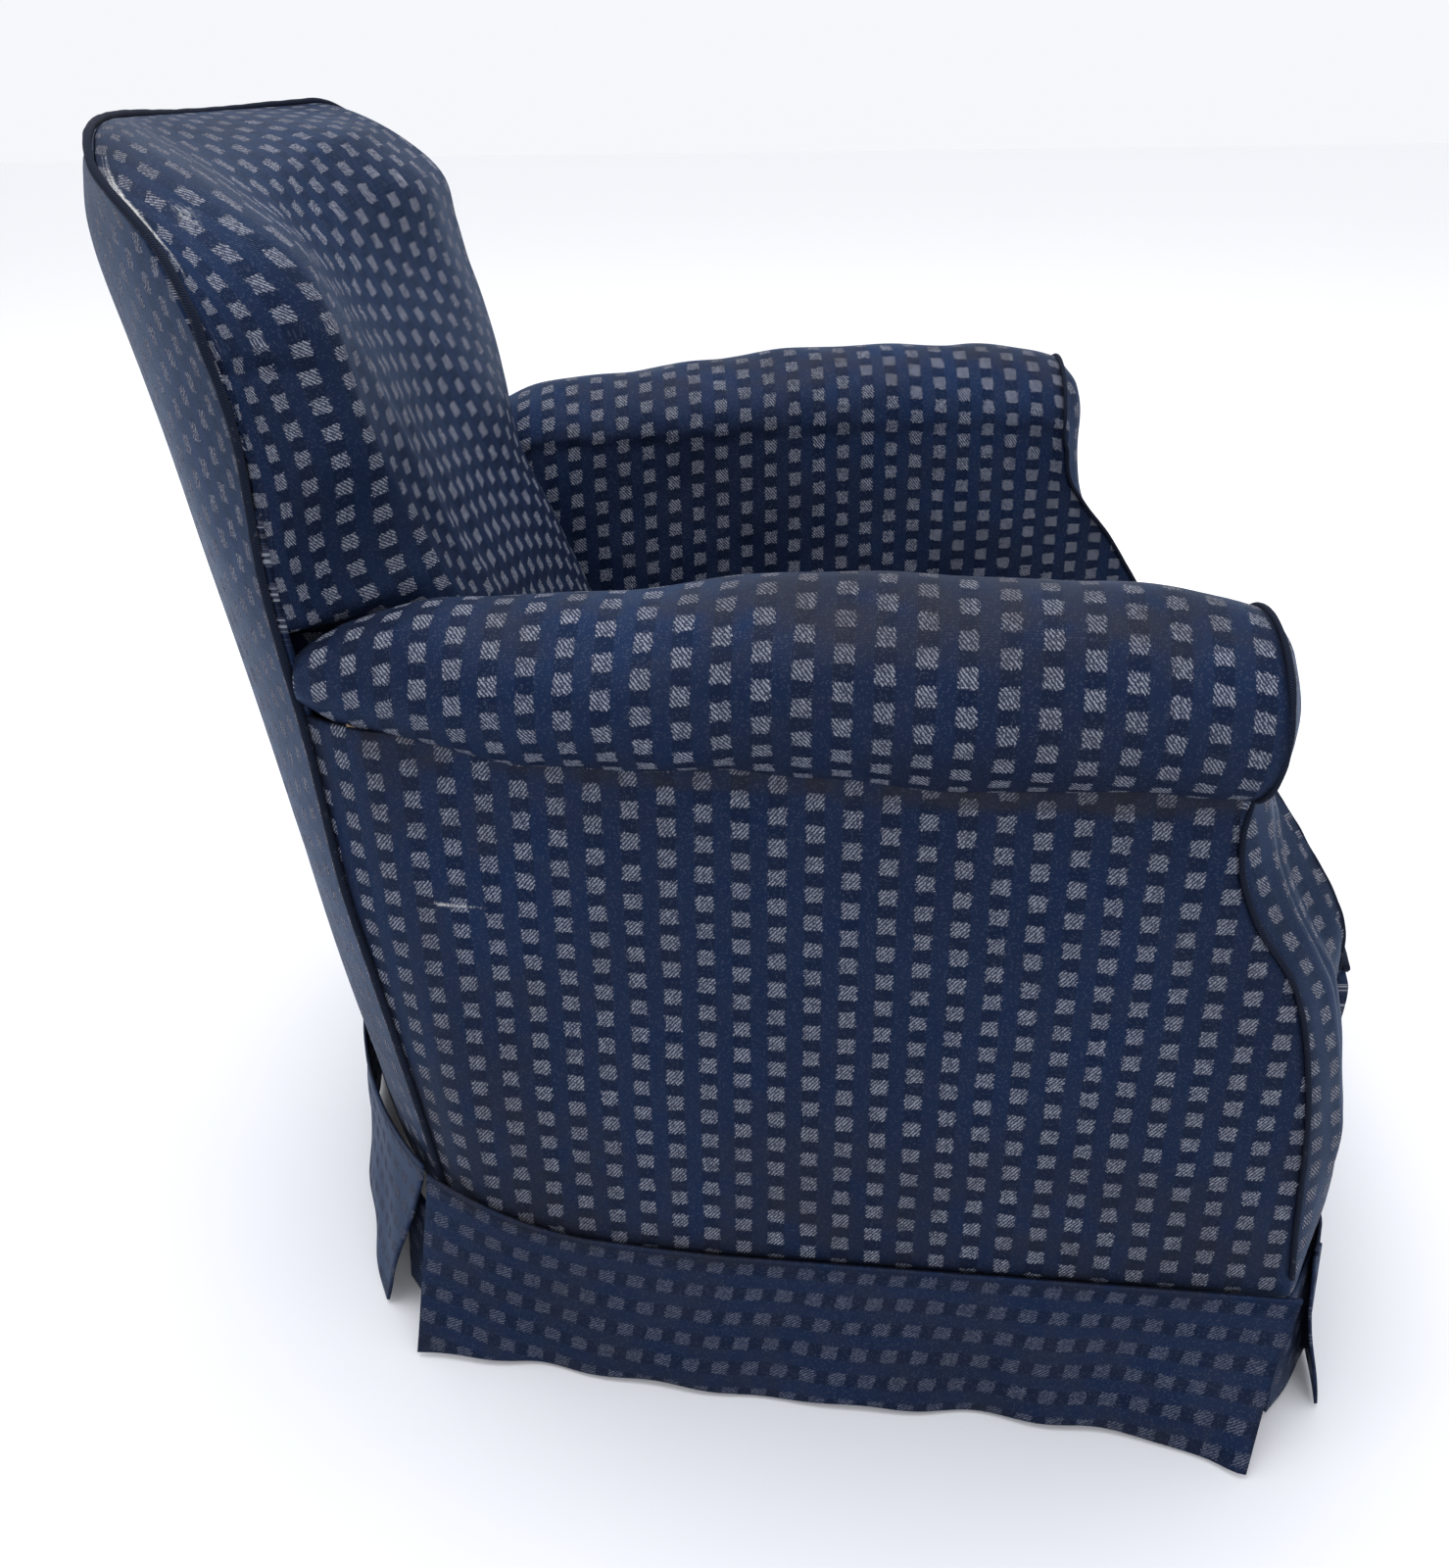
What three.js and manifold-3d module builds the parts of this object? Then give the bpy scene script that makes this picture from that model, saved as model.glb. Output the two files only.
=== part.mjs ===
// A small tub armchair of the 1930s to 1950s, upholstered over a beech frame, old and sagging.
// Millimetres. +Z up, the floor at Z = 0, the chair faces -Y. Left and right are the sitter's, so
// left is +X.
import * as THREE from 'three';
import { mergeVertices } from 'three/addons/utils/BufferGeometryUtils.js';
import Module from 'manifold-3d';

// ---------------------------------------------------------------- driving dimensions
const GAP = 0.3; // air left between pieces that touch
const BACK_TOP = 850; // highest point of the back
const ARM_TOP = 618; // crown of the arm rolls
const ROLL_RADIUS = 58; // padded arm roll
const SKIRT_TOP = 132; // seam that holds the skirt
const SKIRT_HEM = 7; // hem above the floor
const SKIRT_THICK = 2.4; // doubled cloth with its lining
const GLIDE_HEIGHT = 6; // nail-on furniture glide
const RAIL_BOTTOM = 118; // underside of the seat frame
const RAIL_TOP = 203;
const RAIL_THICK = 28;
const FRONT_RAIL_Y = -352; // front face of the front seat rail
const REAR_RAIL_Y = 214; // rear face of the rear seat rail
const SEAT_TOP = 312; // seat at its front edge
const SEAT_SAG = 38; // how far the middle of the seat has sunk
const SEAT_FRONT_Y = -432; // foremost point of the seat border
const BACK_REAR_Y = 455; // rearmost line of the back, just below its top
const BACK_LEAN = 0.16; // rearward shift of the outside back for each unit of height
const INSIDE_LEAN = 0.4; // the same for the inside back, whose padding thickens downward
const ARM_PIVOT_X = 272; // arm crown beside the sitter's back
const ARM_PIVOT_Y = 230;
const ARM_SPLAY = THREE.MathUtils.degToRad(5); // arms open toward the front
const PIPING_RADIUS = 3.5;
const CENTRE_SHIFT = -14; // moves the middle of the overall depth to Y = 0

// ---------------------------------------------------------------- materials
const finish = (color, roughness, metalness = 0) =>
  () => new THREE.MeshStandardMaterial({ color, roughness, metalness });
const navyCloth = finish(0x1b2440, 0.75);
const darkCord = finish(0x15171f, 0.85);
const beech = finish(0xa9855a, 0.7);
const glideSteel = finish(0x8d8a84, 0.45, 0.9);
const springSteel = finish(0x6b5a48, 0.5, 0.8);
const jute = finish(0x9a8058, 0.95);
const hessian = finish(0x8c7550, 0.95);

// ---------------------------------------------------------------- building helpers
const chair = new THREE.Group();
chair.position.y = CENTRE_SHIFT;
const wasm = await Module();
wasm.setup();

function place(name, geometry, material, parent = chair) {
  const mesh = new THREE.Mesh(geometry, material());
  mesh.name = name;
  parent.add(mesh);
  return mesh;
}

function toSolid(geometry) {
  const bare = geometry.clone();
  bare.deleteAttribute('normal');
  bare.deleteAttribute('uv');
  const merged = mergeVertices(bare, 1e-4);
  return new wasm.Manifold(new wasm.Mesh({
    numProp: 3,
    vertProperties: new Float32Array(merged.attributes.position.array),
    triVerts: new Uint32Array(merged.index.array),
  }));
}

function fromSolid(solid) {
  const mesh = solid.getMesh();
  const geometry = new THREE.BufferGeometry();
  geometry.setAttribute('position', new THREE.BufferAttribute(new Float32Array(mesh.vertProperties), 3));
  geometry.setIndex(new THREE.BufferAttribute(new Uint32Array(mesh.triVerts), 1));
  const faceted = geometry.toNonIndexed();
  faceted.computeVertexNormals();
  return faceted;
}

const outline = (points) => new THREE.Shape(points.map(([a, b]) => new THREE.Vector2(a, b)));

function prism(shape, depth, curveSegments = 8) {
  return new THREE.ExtrudeGeometry(shape, { depth, bevelEnabled: false, curveSegments });
}

// A shape drawn in plan (X, Y), raised from zLow to zHigh.
const raisePlan = (shape, zLow, zHigh, segments) =>
  prism(shape, zHigh - zLow, segments).translate(0, 0, zLow);

// A shape drawn from the front (X, Z), running from yRear forward to yFront.
const runForward = (shape, yRear, yFront, segments) =>
  prism(shape, yRear - yFront, segments).rotateX(Math.PI / 2).translate(0, yRear, 0);

// A shape drawn from the side (Y, Z), running across from xLow to xHigh.
const SIDE_TO_WORLD = new THREE.Matrix4().makeBasis(
  new THREE.Vector3(0, 1, 0), new THREE.Vector3(0, 0, 1), new THREE.Vector3(1, 0, 0));
const runAcross = (shape, xLow, xHigh, segments) =>
  prism(shape, xHigh - xLow, segments).applyMatrix4(SIDE_TO_WORLD).translate(xLow, 0, 0);

// Leans a geometry rearward by slope for each unit of height above zPivot.
const lean = (geometry, slope, zPivot) => geometry.applyMatrix4(
  new THREE.Matrix4().set(1, 0, 0, 0, 0, 1, slope, -slope * zPivot, 0, 0, 1, 0, 0, 0, 0, 1));

// A round cord along a curve.
function cord(curve, radius, steps, sides) {
  const section = new THREE.Shape();
  section.absarc(0, 0, radius, 0, 2 * Math.PI);
  return new THREE.ExtrudeGeometry(section, {
    steps, bevelEnabled: false, extrudePath: curve, curveSegments: sides });
}

const spline = (points) =>
  new THREE.CatmullRomCurve3(points.map((p) => new THREE.Vector3(...p)), false, 'centripetal');

// World X of a line that runs along the arm at a sideways offset from its crown.
const armLineX = (offset, y) =>
  ARM_PIVOT_X + offset / Math.cos(ARM_SPLAY) + (ARM_PIVOT_Y - y) * Math.tan(ARM_SPLAY);

const sides = [['left', 1], ['right', -1]];
const mirrored = (points, side) => points.map(([x, z]) => [side * x, z]);

// ---------------------------------------------------------------- seat frame
const LEG_TOP_WIDTH = 42;
const LEG_FOOT_WIDTH = 30;
const LEG_TOP = RAIL_BOTTOM - GAP;
const FRONT_LEG = { x: 292, y: FRONT_RAIL_Y + 36 };
const REAR_LEG = { x: 240, y: REAR_RAIL_Y - 30 };

function legGeometry() {
  const half = LEG_TOP_WIDTH / Math.SQRT2;
  const foot = LEG_FOOT_WIDTH / Math.SQRT2;
  const height = LEG_TOP - GLIDE_HEIGHT - GAP;
  return new THREE.CylinderGeometry(half, foot, height, 4).rotateY(Math.PI / 4).rotateX(Math.PI / 2)
    .translate(0, 0, LEG_TOP - height / 2);
}

function glideGeometry() {
  const profile = [[0, 0], [9, 0], [12.5, 3], [11.5, GLIDE_HEIGHT], [0, GLIDE_HEIGHT]];
  return new THREE.LatheGeometry(profile.map(([r, z]) => new THREE.Vector2(r, z)), 12)
    .rotateX(Math.PI / 2);
}

for (const [sideName, side] of sides) {
  for (const [endName, spot] of [['front', FRONT_LEG], ['rear', REAR_LEG]]) {
    const corner = new THREE.Group();
    corner.position.set(side * spot.x, spot.y, 0);
    chair.add(corner);
    place(`leg_${endName}_${sideName}`, legGeometry(), beech, corner);
    place(`glide_${endName}_${sideName}`, glideGeometry(), glideSteel, corner);
  }
}

// Side rails follow the splayed arms, the cross rails are trimmed to fit between them.
const RAIL_INNER = 8; // inner face of a side rail, measured from the arm crown
const crossRail = (yFront, yRear) => outline([
  [-armLineX(RAIL_INNER, yFront) + GAP, yFront], [armLineX(RAIL_INNER, yFront) - GAP, yFront],
  [armLineX(RAIL_INNER, yRear) - GAP, yRear], [-armLineX(RAIL_INNER, yRear) + GAP, yRear]]);

place('seat_rail_front',
  raisePlan(crossRail(FRONT_RAIL_Y, FRONT_RAIL_Y + RAIL_THICK), RAIL_BOTTOM, RAIL_TOP), beech);
place('seat_rail_rear',
  raisePlan(crossRail(REAR_RAIL_Y - RAIL_THICK, REAR_RAIL_Y), RAIL_BOTTOM, RAIL_TOP), beech);
for (const [sideName, side] of sides) {
  const plan = [[RAIL_INNER, FRONT_RAIL_Y], [RAIL_INNER + RAIL_THICK, FRONT_RAIL_Y],
    [RAIL_INNER + RAIL_THICK, REAR_RAIL_Y], [RAIL_INNER, REAR_RAIL_Y]]
    .map(([offset, y]) => [side * armLineX(offset, y), y]);
  place(`seat_rail_${sideName}`, raisePlan(outline(plan), RAIL_BOTTOM, RAIL_TOP), beech);
}

// Triangular glue blocks brace the corners of the seat frame.
const BLOCK_LEG = 62;
const BLOCK_HEIGHT = 40;
for (const [sideName, side] of sides) {
  for (const [endName, y, inward] of [
    ['front', FRONT_RAIL_Y + RAIL_THICK + GAP, 1], ['rear', REAR_RAIL_Y - RAIL_THICK - GAP, -1]]) {
    const farY = y + inward * BLOCK_LEG;
    const plan = [[side * (armLineX(RAIL_INNER, y) - GAP), y],
      [side * (armLineX(RAIL_INNER, y) - BLOCK_LEG), y],
      [side * (armLineX(RAIL_INNER, farY) - GAP), farY]];
    place(`corner_block_${endName}_${sideName}`,
      raisePlan(outline(plan), RAIL_TOP - BLOCK_HEIGHT, RAIL_TOP), beech);
  }
}

// ---------------------------------------------------------------- webbing and springs
const WEB_WIDTH = 50;
const WEB_THICK = 1.5;
const WEB_MID = 115.6; // middle of the woven web, under the rails
const WEB_SWING = 1.0; // each strip passes over and under by this much
const LONG_WEBS_X = [-125, 0, 125];
const CROSS_WEBS_Y = [-190, 30];

// Outline of a strip that swings over and under the strips it crosses.
function wovenStrip(from, to, crossings, firstPhase) {
  const line = [[from, WEB_MID]];
  crossings.forEach((at, index) => {
    const swing = (index + firstPhase) % 2 === 0 ? WEB_SWING : -WEB_SWING;
    line.push([at - WEB_WIDTH, WEB_MID], [at - WEB_WIDTH / 2 - 3, WEB_MID + swing]);
    line.push([at + WEB_WIDTH / 2 + 3, WEB_MID + swing], [at + WEB_WIDTH, WEB_MID]);
  });
  line.push([to, WEB_MID]);
  const under = line.map(([s, z]) => [s, z - WEB_THICK / 2]);
  const over = line.map(([s, z]) => [s, z + WEB_THICK / 2]).reverse();
  return outline([...under, ...over]);
}

LONG_WEBS_X.forEach((x, index) => {
  const strip = wovenStrip(FRONT_RAIL_Y + 6, REAR_RAIL_Y - 6, CROSS_WEBS_Y, index);
  place(`webbing_long_${index + 1}`, runAcross(strip, x - WEB_WIDTH / 2, x + WEB_WIDTH / 2), jute);
});
CROSS_WEBS_Y.forEach((y, index) => {
  const reach = armLineX(RAIL_INNER + RAIL_THICK - 8, y);
  const strip = wovenStrip(-reach, reach, LONG_WEBS_X, index + 1);
  place(`webbing_cross_${index + 1}`, runForward(strip, y + WEB_WIDTH / 2, y - WEB_WIDTH / 2), jute);
});

// Double-cone upholstery springs stand on the crossings of the webbing.
const SPRING_WIRE = 1.8;
const SPRING_TURNS = 4;
const SPRING_LOW = WEB_MID + WEB_SWING + WEB_THICK + SPRING_WIRE;
const SPRING_HIGH = 226;

class SpringCurve extends THREE.Curve {
  getPoint(t, target = new THREE.Vector3()) {
    const waist = 22 + 20 * (2 * t - 1) ** 2;
    const angle = 2 * Math.PI * SPRING_TURNS * t;
    const rise = THREE.MathUtils.clamp((t - 0.1) / 0.8, 0, 1);
    return target.set(waist * Math.cos(angle), waist * Math.sin(angle),
      SPRING_LOW + 3 * SPRING_WIRE * t + (SPRING_HIGH - SPRING_LOW - 3 * SPRING_WIRE) * rise);
  }
}

let springNumber = 0;
for (const y of CROSS_WEBS_Y) {
  for (const x of LONG_WEBS_X) {
    springNumber += 1;
    const spring = place(`seat_spring_${springNumber}`,
      cord(new SpringCurve(), SPRING_WIRE, SPRING_TURNS * 10, 3), springSteel);
    spring.position.set(x, y, 0);
  }
}

// ---------------------------------------------------------------- seat
const ARM_INNER = -62; // inner face of the arm padding, measured from the crown
const SEAT_REAR_Y = 196; // the seat runs in under the foot of the inside back
const BORDER_THICK = 34;
const BORDER_BOW = 22; // the front border swells forward in plan
const borderRear = SEAT_FRONT_Y + BORDER_THICK;
const seatSide = (y) => armLineX(ARM_INNER, y) - 1;
const CANVAS_LOW = SPRING_HIGH + SPRING_WIRE + 1;
const CANVAS_THICK = 2;
const PAD_LOW = CANVAS_LOW + CANVAS_THICK + GAP;

const seatPlan = (yFront, yRear) => outline([[-seatSide(yFront), yFront], [seatSide(yFront), yFront],
  [seatSide(yRear), yRear], [-seatSide(yRear), yRear]]);
place('spring_canvas',
  raisePlan(seatPlan(FRONT_RAIL_Y, SEAT_REAR_Y), CANVAS_LOW, CANVAS_LOW + CANVAS_THICK), hessian);

// The stuffed seat, with a shallow bowl worn into it.
const bowlReach = 245;
const bowlRadius = (bowlReach ** 2 + SEAT_SAG ** 2) / (2 * SEAT_SAG);
const bowl = toSolid(new THREE.SphereGeometry(bowlRadius, 64, 32)
  .translate(0, -120, SEAT_TOP - SEAT_SAG + bowlRadius));
const seatBlock = toSolid(raisePlan(seatPlan(borderRear + GAP, SEAT_REAR_Y), PAD_LOW, SEAT_TOP));
place('seat_pad', fromSolid(seatBlock.subtract(bowl)), navyCloth);

// The front border hangs from the seat edge down behind the skirt.
const borderHalf = armLineX(ARM_INNER, borderRear) - 1;
const borderShape = outline([[-borderHalf, borderRear], [-borderHalf, SEAT_FRONT_Y + BORDER_BOW]]);
borderShape.quadraticCurveTo(0, SEAT_FRONT_Y - BORDER_BOW, borderHalf, SEAT_FRONT_Y + BORDER_BOW);
borderShape.lineTo(borderHalf, borderRear);
place('seat_border', raisePlan(borderShape, RAIL_BOTTOM, SEAT_TOP, 12), navyCloth);

const seatEdge = new THREE.QuadraticBezierCurve3(
  new THREE.Vector3(-borderHalf + 4, SEAT_FRONT_Y + BORDER_BOW, SEAT_TOP + PIPING_RADIUS + 0.5),
  new THREE.Vector3(0, SEAT_FRONT_Y - BORDER_BOW, SEAT_TOP + PIPING_RADIUS + 0.5),
  new THREE.Vector3(borderHalf - 4, SEAT_FRONT_Y + BORDER_BOW, SEAT_TOP + PIPING_RADIUS + 0.5));
place('seat_piping', cord(seatEdge, PIPING_RADIUS, 12, 3), darkCord);

// ---------------------------------------------------------------- arms
const ARM_REAR = 50; // along the arm, measured from the pivot and positive to the rear
const ARM_FRONT = -500;
const PANEL_TOP = 500;
const PANEL_THICK = 6;
const PANEL_TILT = THREE.MathUtils.degToRad(3); // the outside panel spreads toward the floor
const POST_INNER = -25;
const POST_OUTER = 21;
const ARM_RAIL_TOP = 530;
const ROLL_Z = ARM_TOP - ROLL_RADIUS;

function armGroup(side) {
  const group = new THREE.Group();
  group.position.set(side * ARM_PIVOT_X, ARM_PIVOT_Y, 0);
  group.rotation.z = side * ARM_SPLAY;
  chair.add(group);
  return group;
}

// Points around a roll of the given radius, from the inner side over the crown to the outer side.
function rollPoints(radius, startDegrees, endDegrees, count) {
  return Array.from({ length: count + 1 }, (_, i) => {
    const angle = THREE.MathUtils.degToRad(startDegrees + ((endDegrees - startDegrees) * i) / count);
    return [radius * Math.cos(angle), ROLL_Z + radius * Math.sin(angle)];
  });
}

// Rear corner of the arm, rounded in toward the back.
function armTrim(side) {
  return runTrim(side, [[-90, ARM_FRONT - 5], [90, ARM_FRONT - 5], [90, -110], [28, ARM_REAR + 5],
    [-90, ARM_REAR + 5]]);
}
const runTrim = (side, plan) => toSolid(raisePlan(outline(mirrored(plan, side)), 0, 900));

// Side outline of the panel's front edge and, further forward, of the arm facing.
function frontEdge(shape, forward) {
  shape.bezierCurveTo(-585 - forward, 240, -572 - forward, 330, -543 - forward, 395);
  shape.bezierCurveTo(-522 - forward / 2, 440, -508 - forward / 2, 470, -510 - forward / 2, PANEL_TOP);
}
const FACING_FORWARD = 42; // padding of the facing at seat level, half of it at the roll

function facingSolid(side) {
  const band = new THREE.Shape();
  band.moveTo(-597 - GAP, RAIL_BOTTOM);
  frontEdge(band, GAP);
  band.lineTo(-508, ARM_TOP + 5);
  band.lineTo(-508 - FACING_FORWARD * 0.7, ARM_TOP + 5);
  band.lineTo(-510 - FACING_FORWARD * 0.8, PANEL_TOP);
  band.bezierCurveTo(-540, 440, -590, 400, -604, 350);
  band.bezierCurveTo(-622, 300, -634, 240, -597 - FACING_FORWARD, RAIL_BOTTOM);
  const front = [[-60, RAIL_BOTTOM], [-60, ROLL_Z], ...rollPoints(60, 170, -60, 14),
    [29, PANEL_TOP], [29 + 382 * Math.tan(PANEL_TILT), RAIL_BOTTOM]];
  const scroll = runForward(outline(mirrored(front, side)), -480, -660);
  return toSolid(runAcross(band, -90, 90, 6)).intersect(toSolid(scroll));
}

for (const [sideName, side] of sides) {
  const arm = armGroup(side);
  const section = [[ARM_INNER, SEAT_TOP - 12], [ARM_INNER + 2, ROLL_Z - 30],
    ...rollPoints(ROLL_RADIUS, 190, -56, 16), [POST_OUTER + 1, 503],
    [POST_OUTER + 1, ARM_RAIL_TOP + GAP], [POST_INNER - GAP, ARM_RAIL_TOP + GAP],
    [POST_INNER - GAP, SEAT_TOP - 12]];
  const roll = toSolid(runForward(outline(mirrored(section, side)), ARM_REAR, ARM_FRONT));
  place(`arm_pad_${sideName}`, fromSolid(roll.intersect(armTrim(side))), navyCloth, arm);

  const panelShape = new THREE.Shape();
  panelShape.moveTo(-597, RAIL_BOTTOM);
  frontEdge(panelShape, 0);
  panelShape.lineTo(46, PANEL_TOP);
  panelShape.lineTo(2, RAIL_BOTTOM);
  const panel = place(`outside_arm_${sideName}`,
    runAcross(panelShape, -PANEL_THICK / 2, PANEL_THICK / 2, 6).translate(0, 0, -PANEL_TOP),
    navyCloth, arm);
  panel.position.set(side * (POST_OUTER + 5), 0, PANEL_TOP);
  panel.rotation.y = -side * PANEL_TILT;

  place(`arm_facing_${sideName}`, fromSolid(facingSolid(side)), navyCloth, arm);

  const besidePanel = (y, z) => [34.5 + (PANEL_TOP - z) * Math.tan(PANEL_TILT), y, z];
  const pipe = [besidePanel(-597, SKIRT_TOP + 5), besidePanel(-583, 260), besidePanel(-556, 350),
    besidePanel(-520, 430), besidePanel(-507, 490),
    ...rollPoints(ROLL_RADIUS + 6.5, -40, 190, 12).map(([x, z]) => [x, -504, z]),
    [-64.5, -507, 480], [-64.5, -525, 410], [-64.5, -552, 350], [-64.5, -566, SEAT_TOP + 12]];
  place(`arm_piping_${sideName}`,
    cord(spline(pipe.map(([x, y, z]) => [side * x, y, z])), PIPING_RADIUS, 34, 3), darkCord, arm);

  const bar = (x0, x1, y0, y1, z0, z1) => new THREE.BoxGeometry(x1 - x0, y1 - y0, z1 - z0)
    .translate(side * (x0 + x1) / 2, (y0 + y1) / 2, (z0 + z1) / 2);
  place(`arm_post_${sideName}`,
    bar(POST_INNER, POST_OUTER, -502, -460, RAIL_TOP + GAP, ARM_RAIL_TOP - 28 - GAP), beech, arm);
  place(`arm_rail_${sideName}`,
    bar(POST_INNER, POST_OUTER, -502, 20, ARM_RAIL_TOP - 28, ARM_RAIL_TOP), beech, arm);
  place(`tacking_rail_${sideName}`,
    bar(POST_INNER, POST_INNER + 22, -459, -10, SEAT_TOP - 10, SEAT_TOP + 32), beech, arm);
}

// ---------------------------------------------------------------- back
const BACK_HALF = 262; // half width above the arms
const BACK_FOOT_HALF = 296; // half width at the skirt
const NECK_HALF = 203; // half width between the arms
const SHOULDER = 95; // radius of the top corners
const BACK_ROUND = 0.00135; // rounding of the back in plan: offset = BACK_ROUND * x squared
const SKIN = 7; // outside back with its cotton felt

const backRear = (z) => BACK_REAR_Y - BACK_LEAN * (BACK_TOP - 50 - z);
const leanBack = (geometry) => lean(geometry, BACK_LEAN, BACK_TOP - 50);

// Plan of the back between a rounded rear line, set forward by inset, and a straight front line.
function backPlan(half, inset, front) {
  const end = BACK_ROUND * half * half;
  const shape = new THREE.Shape();
  shape.moveTo(-half, front);
  shape.lineTo(half, front);
  shape.lineTo(half, BACK_REAR_Y - inset - end);
  shape.quadraticCurveTo(0, BACK_REAR_Y - inset + end, -half, BACK_REAR_Y - inset - end);
  return shape;
}

// Plan of a rounded band that follows the outside back.
function backBand(half, inset, thick) {
  const end = BACK_ROUND * half * half;
  const rear = BACK_REAR_Y - inset;
  const shape = new THREE.Shape();
  shape.moveTo(half, rear - end);
  shape.quadraticCurveTo(0, rear + end, -half, rear - end);
  shape.lineTo(-half, rear - end - thick);
  shape.quadraticCurveTo(0, rear + end - thick, half, rear - end - thick);
  return shape;
}

function frontView(halfTop, halfLow, zLow, neck) {
  const shape = new THREE.Shape();
  shape.moveTo(-halfLow, zLow);
  shape.lineTo(halfLow, zLow);
  if (neck) {
    shape.lineTo(halfLow, neck);
    shape.lineTo(halfTop, neck);
  }
  shape.lineTo(halfTop, BACK_TOP - SHOULDER);
  shape.absarc(halfTop - SHOULDER, BACK_TOP - SHOULDER, SHOULDER, 0, Math.PI / 2);
  shape.absarc(-halfTop + SHOULDER, BACK_TOP - SHOULDER, SHOULDER, Math.PI / 2, Math.PI);
  if (neck) {
    shape.lineTo(-halfTop, neck);
    shape.lineTo(-halfLow, neck);
  }
  return shape;
}

const skinBlock = toSolid(leanBack(raisePlan(backBand(300, 0, SKIN), RAIL_BOTTOM, BACK_TOP, 16)));
const skinView = toSolid(runForward(frontView(BACK_HALF, BACK_FOOT_HALF, RAIL_BOTTOM, 0), 480, 150, 6));
place('outside_back', fromSolid(skinBlock.intersect(skinView)), navyCloth);

// The inside back is a thick pad with a hollow for the sitter and a rear pocket for the frame.
const PAD_FOOT = SEAT_TOP + GAP;
const PAD_FOOT_Y = 100; // front of the padding where it meets the seat
const PAD_RISE = 450; // height over which the front of the padding leans straight
const FRAME_TOP = 806;
const FRAME_HALF = 160;
const POCKET = 103; // depth of the frame pocket behind the padding

const padSide = new THREE.Shape();
const padBend = PAD_FOOT_Y + INSIDE_LEAN * PAD_RISE;
const behindPad = BACK_REAR_Y + 5;
padSide.moveTo(PAD_FOOT_Y, PAD_FOOT);
padSide.lineTo(padBend, PAD_FOOT + PAD_RISE);
padSide.bezierCurveTo(padBend + 20, BACK_TOP - 38, padBend + 38, BACK_TOP, padBend + 76, BACK_TOP);
padSide.lineTo(behindPad, BACK_TOP);
padSide.lineTo(behindPad, PAD_FOOT);
const HOLLOW_DEPTH = 28;
const hollow = new THREE.Shape();
hollow.moveTo(-NECK_HALF + 12, -60);
hollow.lineTo(NECK_HALF - 12, -60);
hollow.lineTo(NECK_HALF - 12, 0);
hollow.quadraticCurveTo(0, 2 * HOLLOW_DEPTH, -NECK_HALF + 12, 0);
const padBlock = toSolid(leanBack(raisePlan(backPlan(300, SKIN + GAP, 0), PAD_FOOT, BACK_TOP, 16)));
const padView = toSolid(runForward(frontView(BACK_HALF, NECK_HALF, PAD_FOOT, ARM_TOP + 5), 480, 50, 6));
const hollowCut = toSolid(lean(raisePlan(hollow, PAD_FOOT - 20, FRAME_TOP - 16, 10),
  INSIDE_LEAN, PAD_FOOT).translate(0, PAD_FOOT_Y + 2, 0));
const pocket = (half, zTop) => toSolid(leanBack(raisePlan(outline([
  [-half, BACK_REAR_Y - POCKET], [half, BACK_REAR_Y - POCKET], [half, 520], [-half, 520]]),
PAD_FOOT - 20, zTop)));
const backPad = toSolid(runAcross(padSide, -300, 300, 8)).intersect(padBlock).intersect(padView)
  .subtract(hollowCut).subtract(pocket(FRAME_HALF + 0.5, FRAME_TOP))
  .subtract(pocket(NECK_HALF + 10, ARM_TOP));
place('back_pad', fromSolid(backPad), navyCloth);

// Back frame: two raked posts, a rounded top rail and a lower rail for the foot of the padding.
const POST_WIDTH = 40;
const POST_DEPTH = 38;
const postFront = BACK_REAR_Y - POCKET + 2;
const leaningBar = (x0, x1, y0, y1, z0, z1) => leanBack(raisePlan(
  outline([[x0, y0], [x1, y0], [x1, y1], [x0, y1]]), z0, z1));
const TOP_RAIL_LOW = FRAME_TOP - 44;
const TOP_RAIL_INSET = SKIN + 24; // room for the rolled edge of the cover behind the rail
for (const [sideName, side] of sides) {
  const [inner, outer] = [side * (FRAME_HALF - 2), side * (FRAME_HALF - 2 - POST_WIDTH)];
  place(`back_post_${sideName}`, leaningBar(Math.min(inner, outer), Math.max(inner, outer),
    postFront, postFront + POST_DEPTH, RAIL_BOTTOM, TOP_RAIL_LOW - GAP), beech);
}
place('back_top_rail', leanBack(raisePlan(
  backBand(FRAME_HALF - 2, TOP_RAIL_INSET, 26), TOP_RAIL_LOW, FRAME_TOP - 1, 8)), beech);
place('back_lower_rail', leaningBar(-FRAME_HALF + 2 + POST_WIDTH + GAP, FRAME_HALF - 2 - POST_WIDTH - GAP,
  postFront, postFront + RAIL_THICK, SEAT_TOP - 8, SEAT_TOP + 36), beech);

// The cord along the seam between the outside back and the padding.
const SEAM_CLEAR = PIPING_RADIUS + 2;
const shoulderZ = BACK_TOP - SHOULDER;
const seamPoint = (x, z) => [x, backRear(z) - BACK_ROUND * x * x - SKIN / 2, z];
const seamSide = (side) => [SKIRT_TOP + 6, 340, 550, shoulderZ - 40].map((z) => {
  const taper = ((BACK_FOOT_HALF - BACK_HALF) * (shoulderZ - z)) / (shoulderZ - RAIL_BOTTOM);
  return seamPoint(side * (BACK_HALF + taper + SEAM_CLEAR), z);
});
const seamShoulder = (side) => [0, 15, 30, 45, 60, 75, 90].map((degrees) => {
  const angle = THREE.MathUtils.degToRad(degrees);
  const reach = SHOULDER + SEAM_CLEAR;
  return seamPoint(side * (BACK_HALF - SHOULDER + reach * Math.cos(angle)),
    shoulderZ + reach * Math.sin(angle));
});
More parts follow.
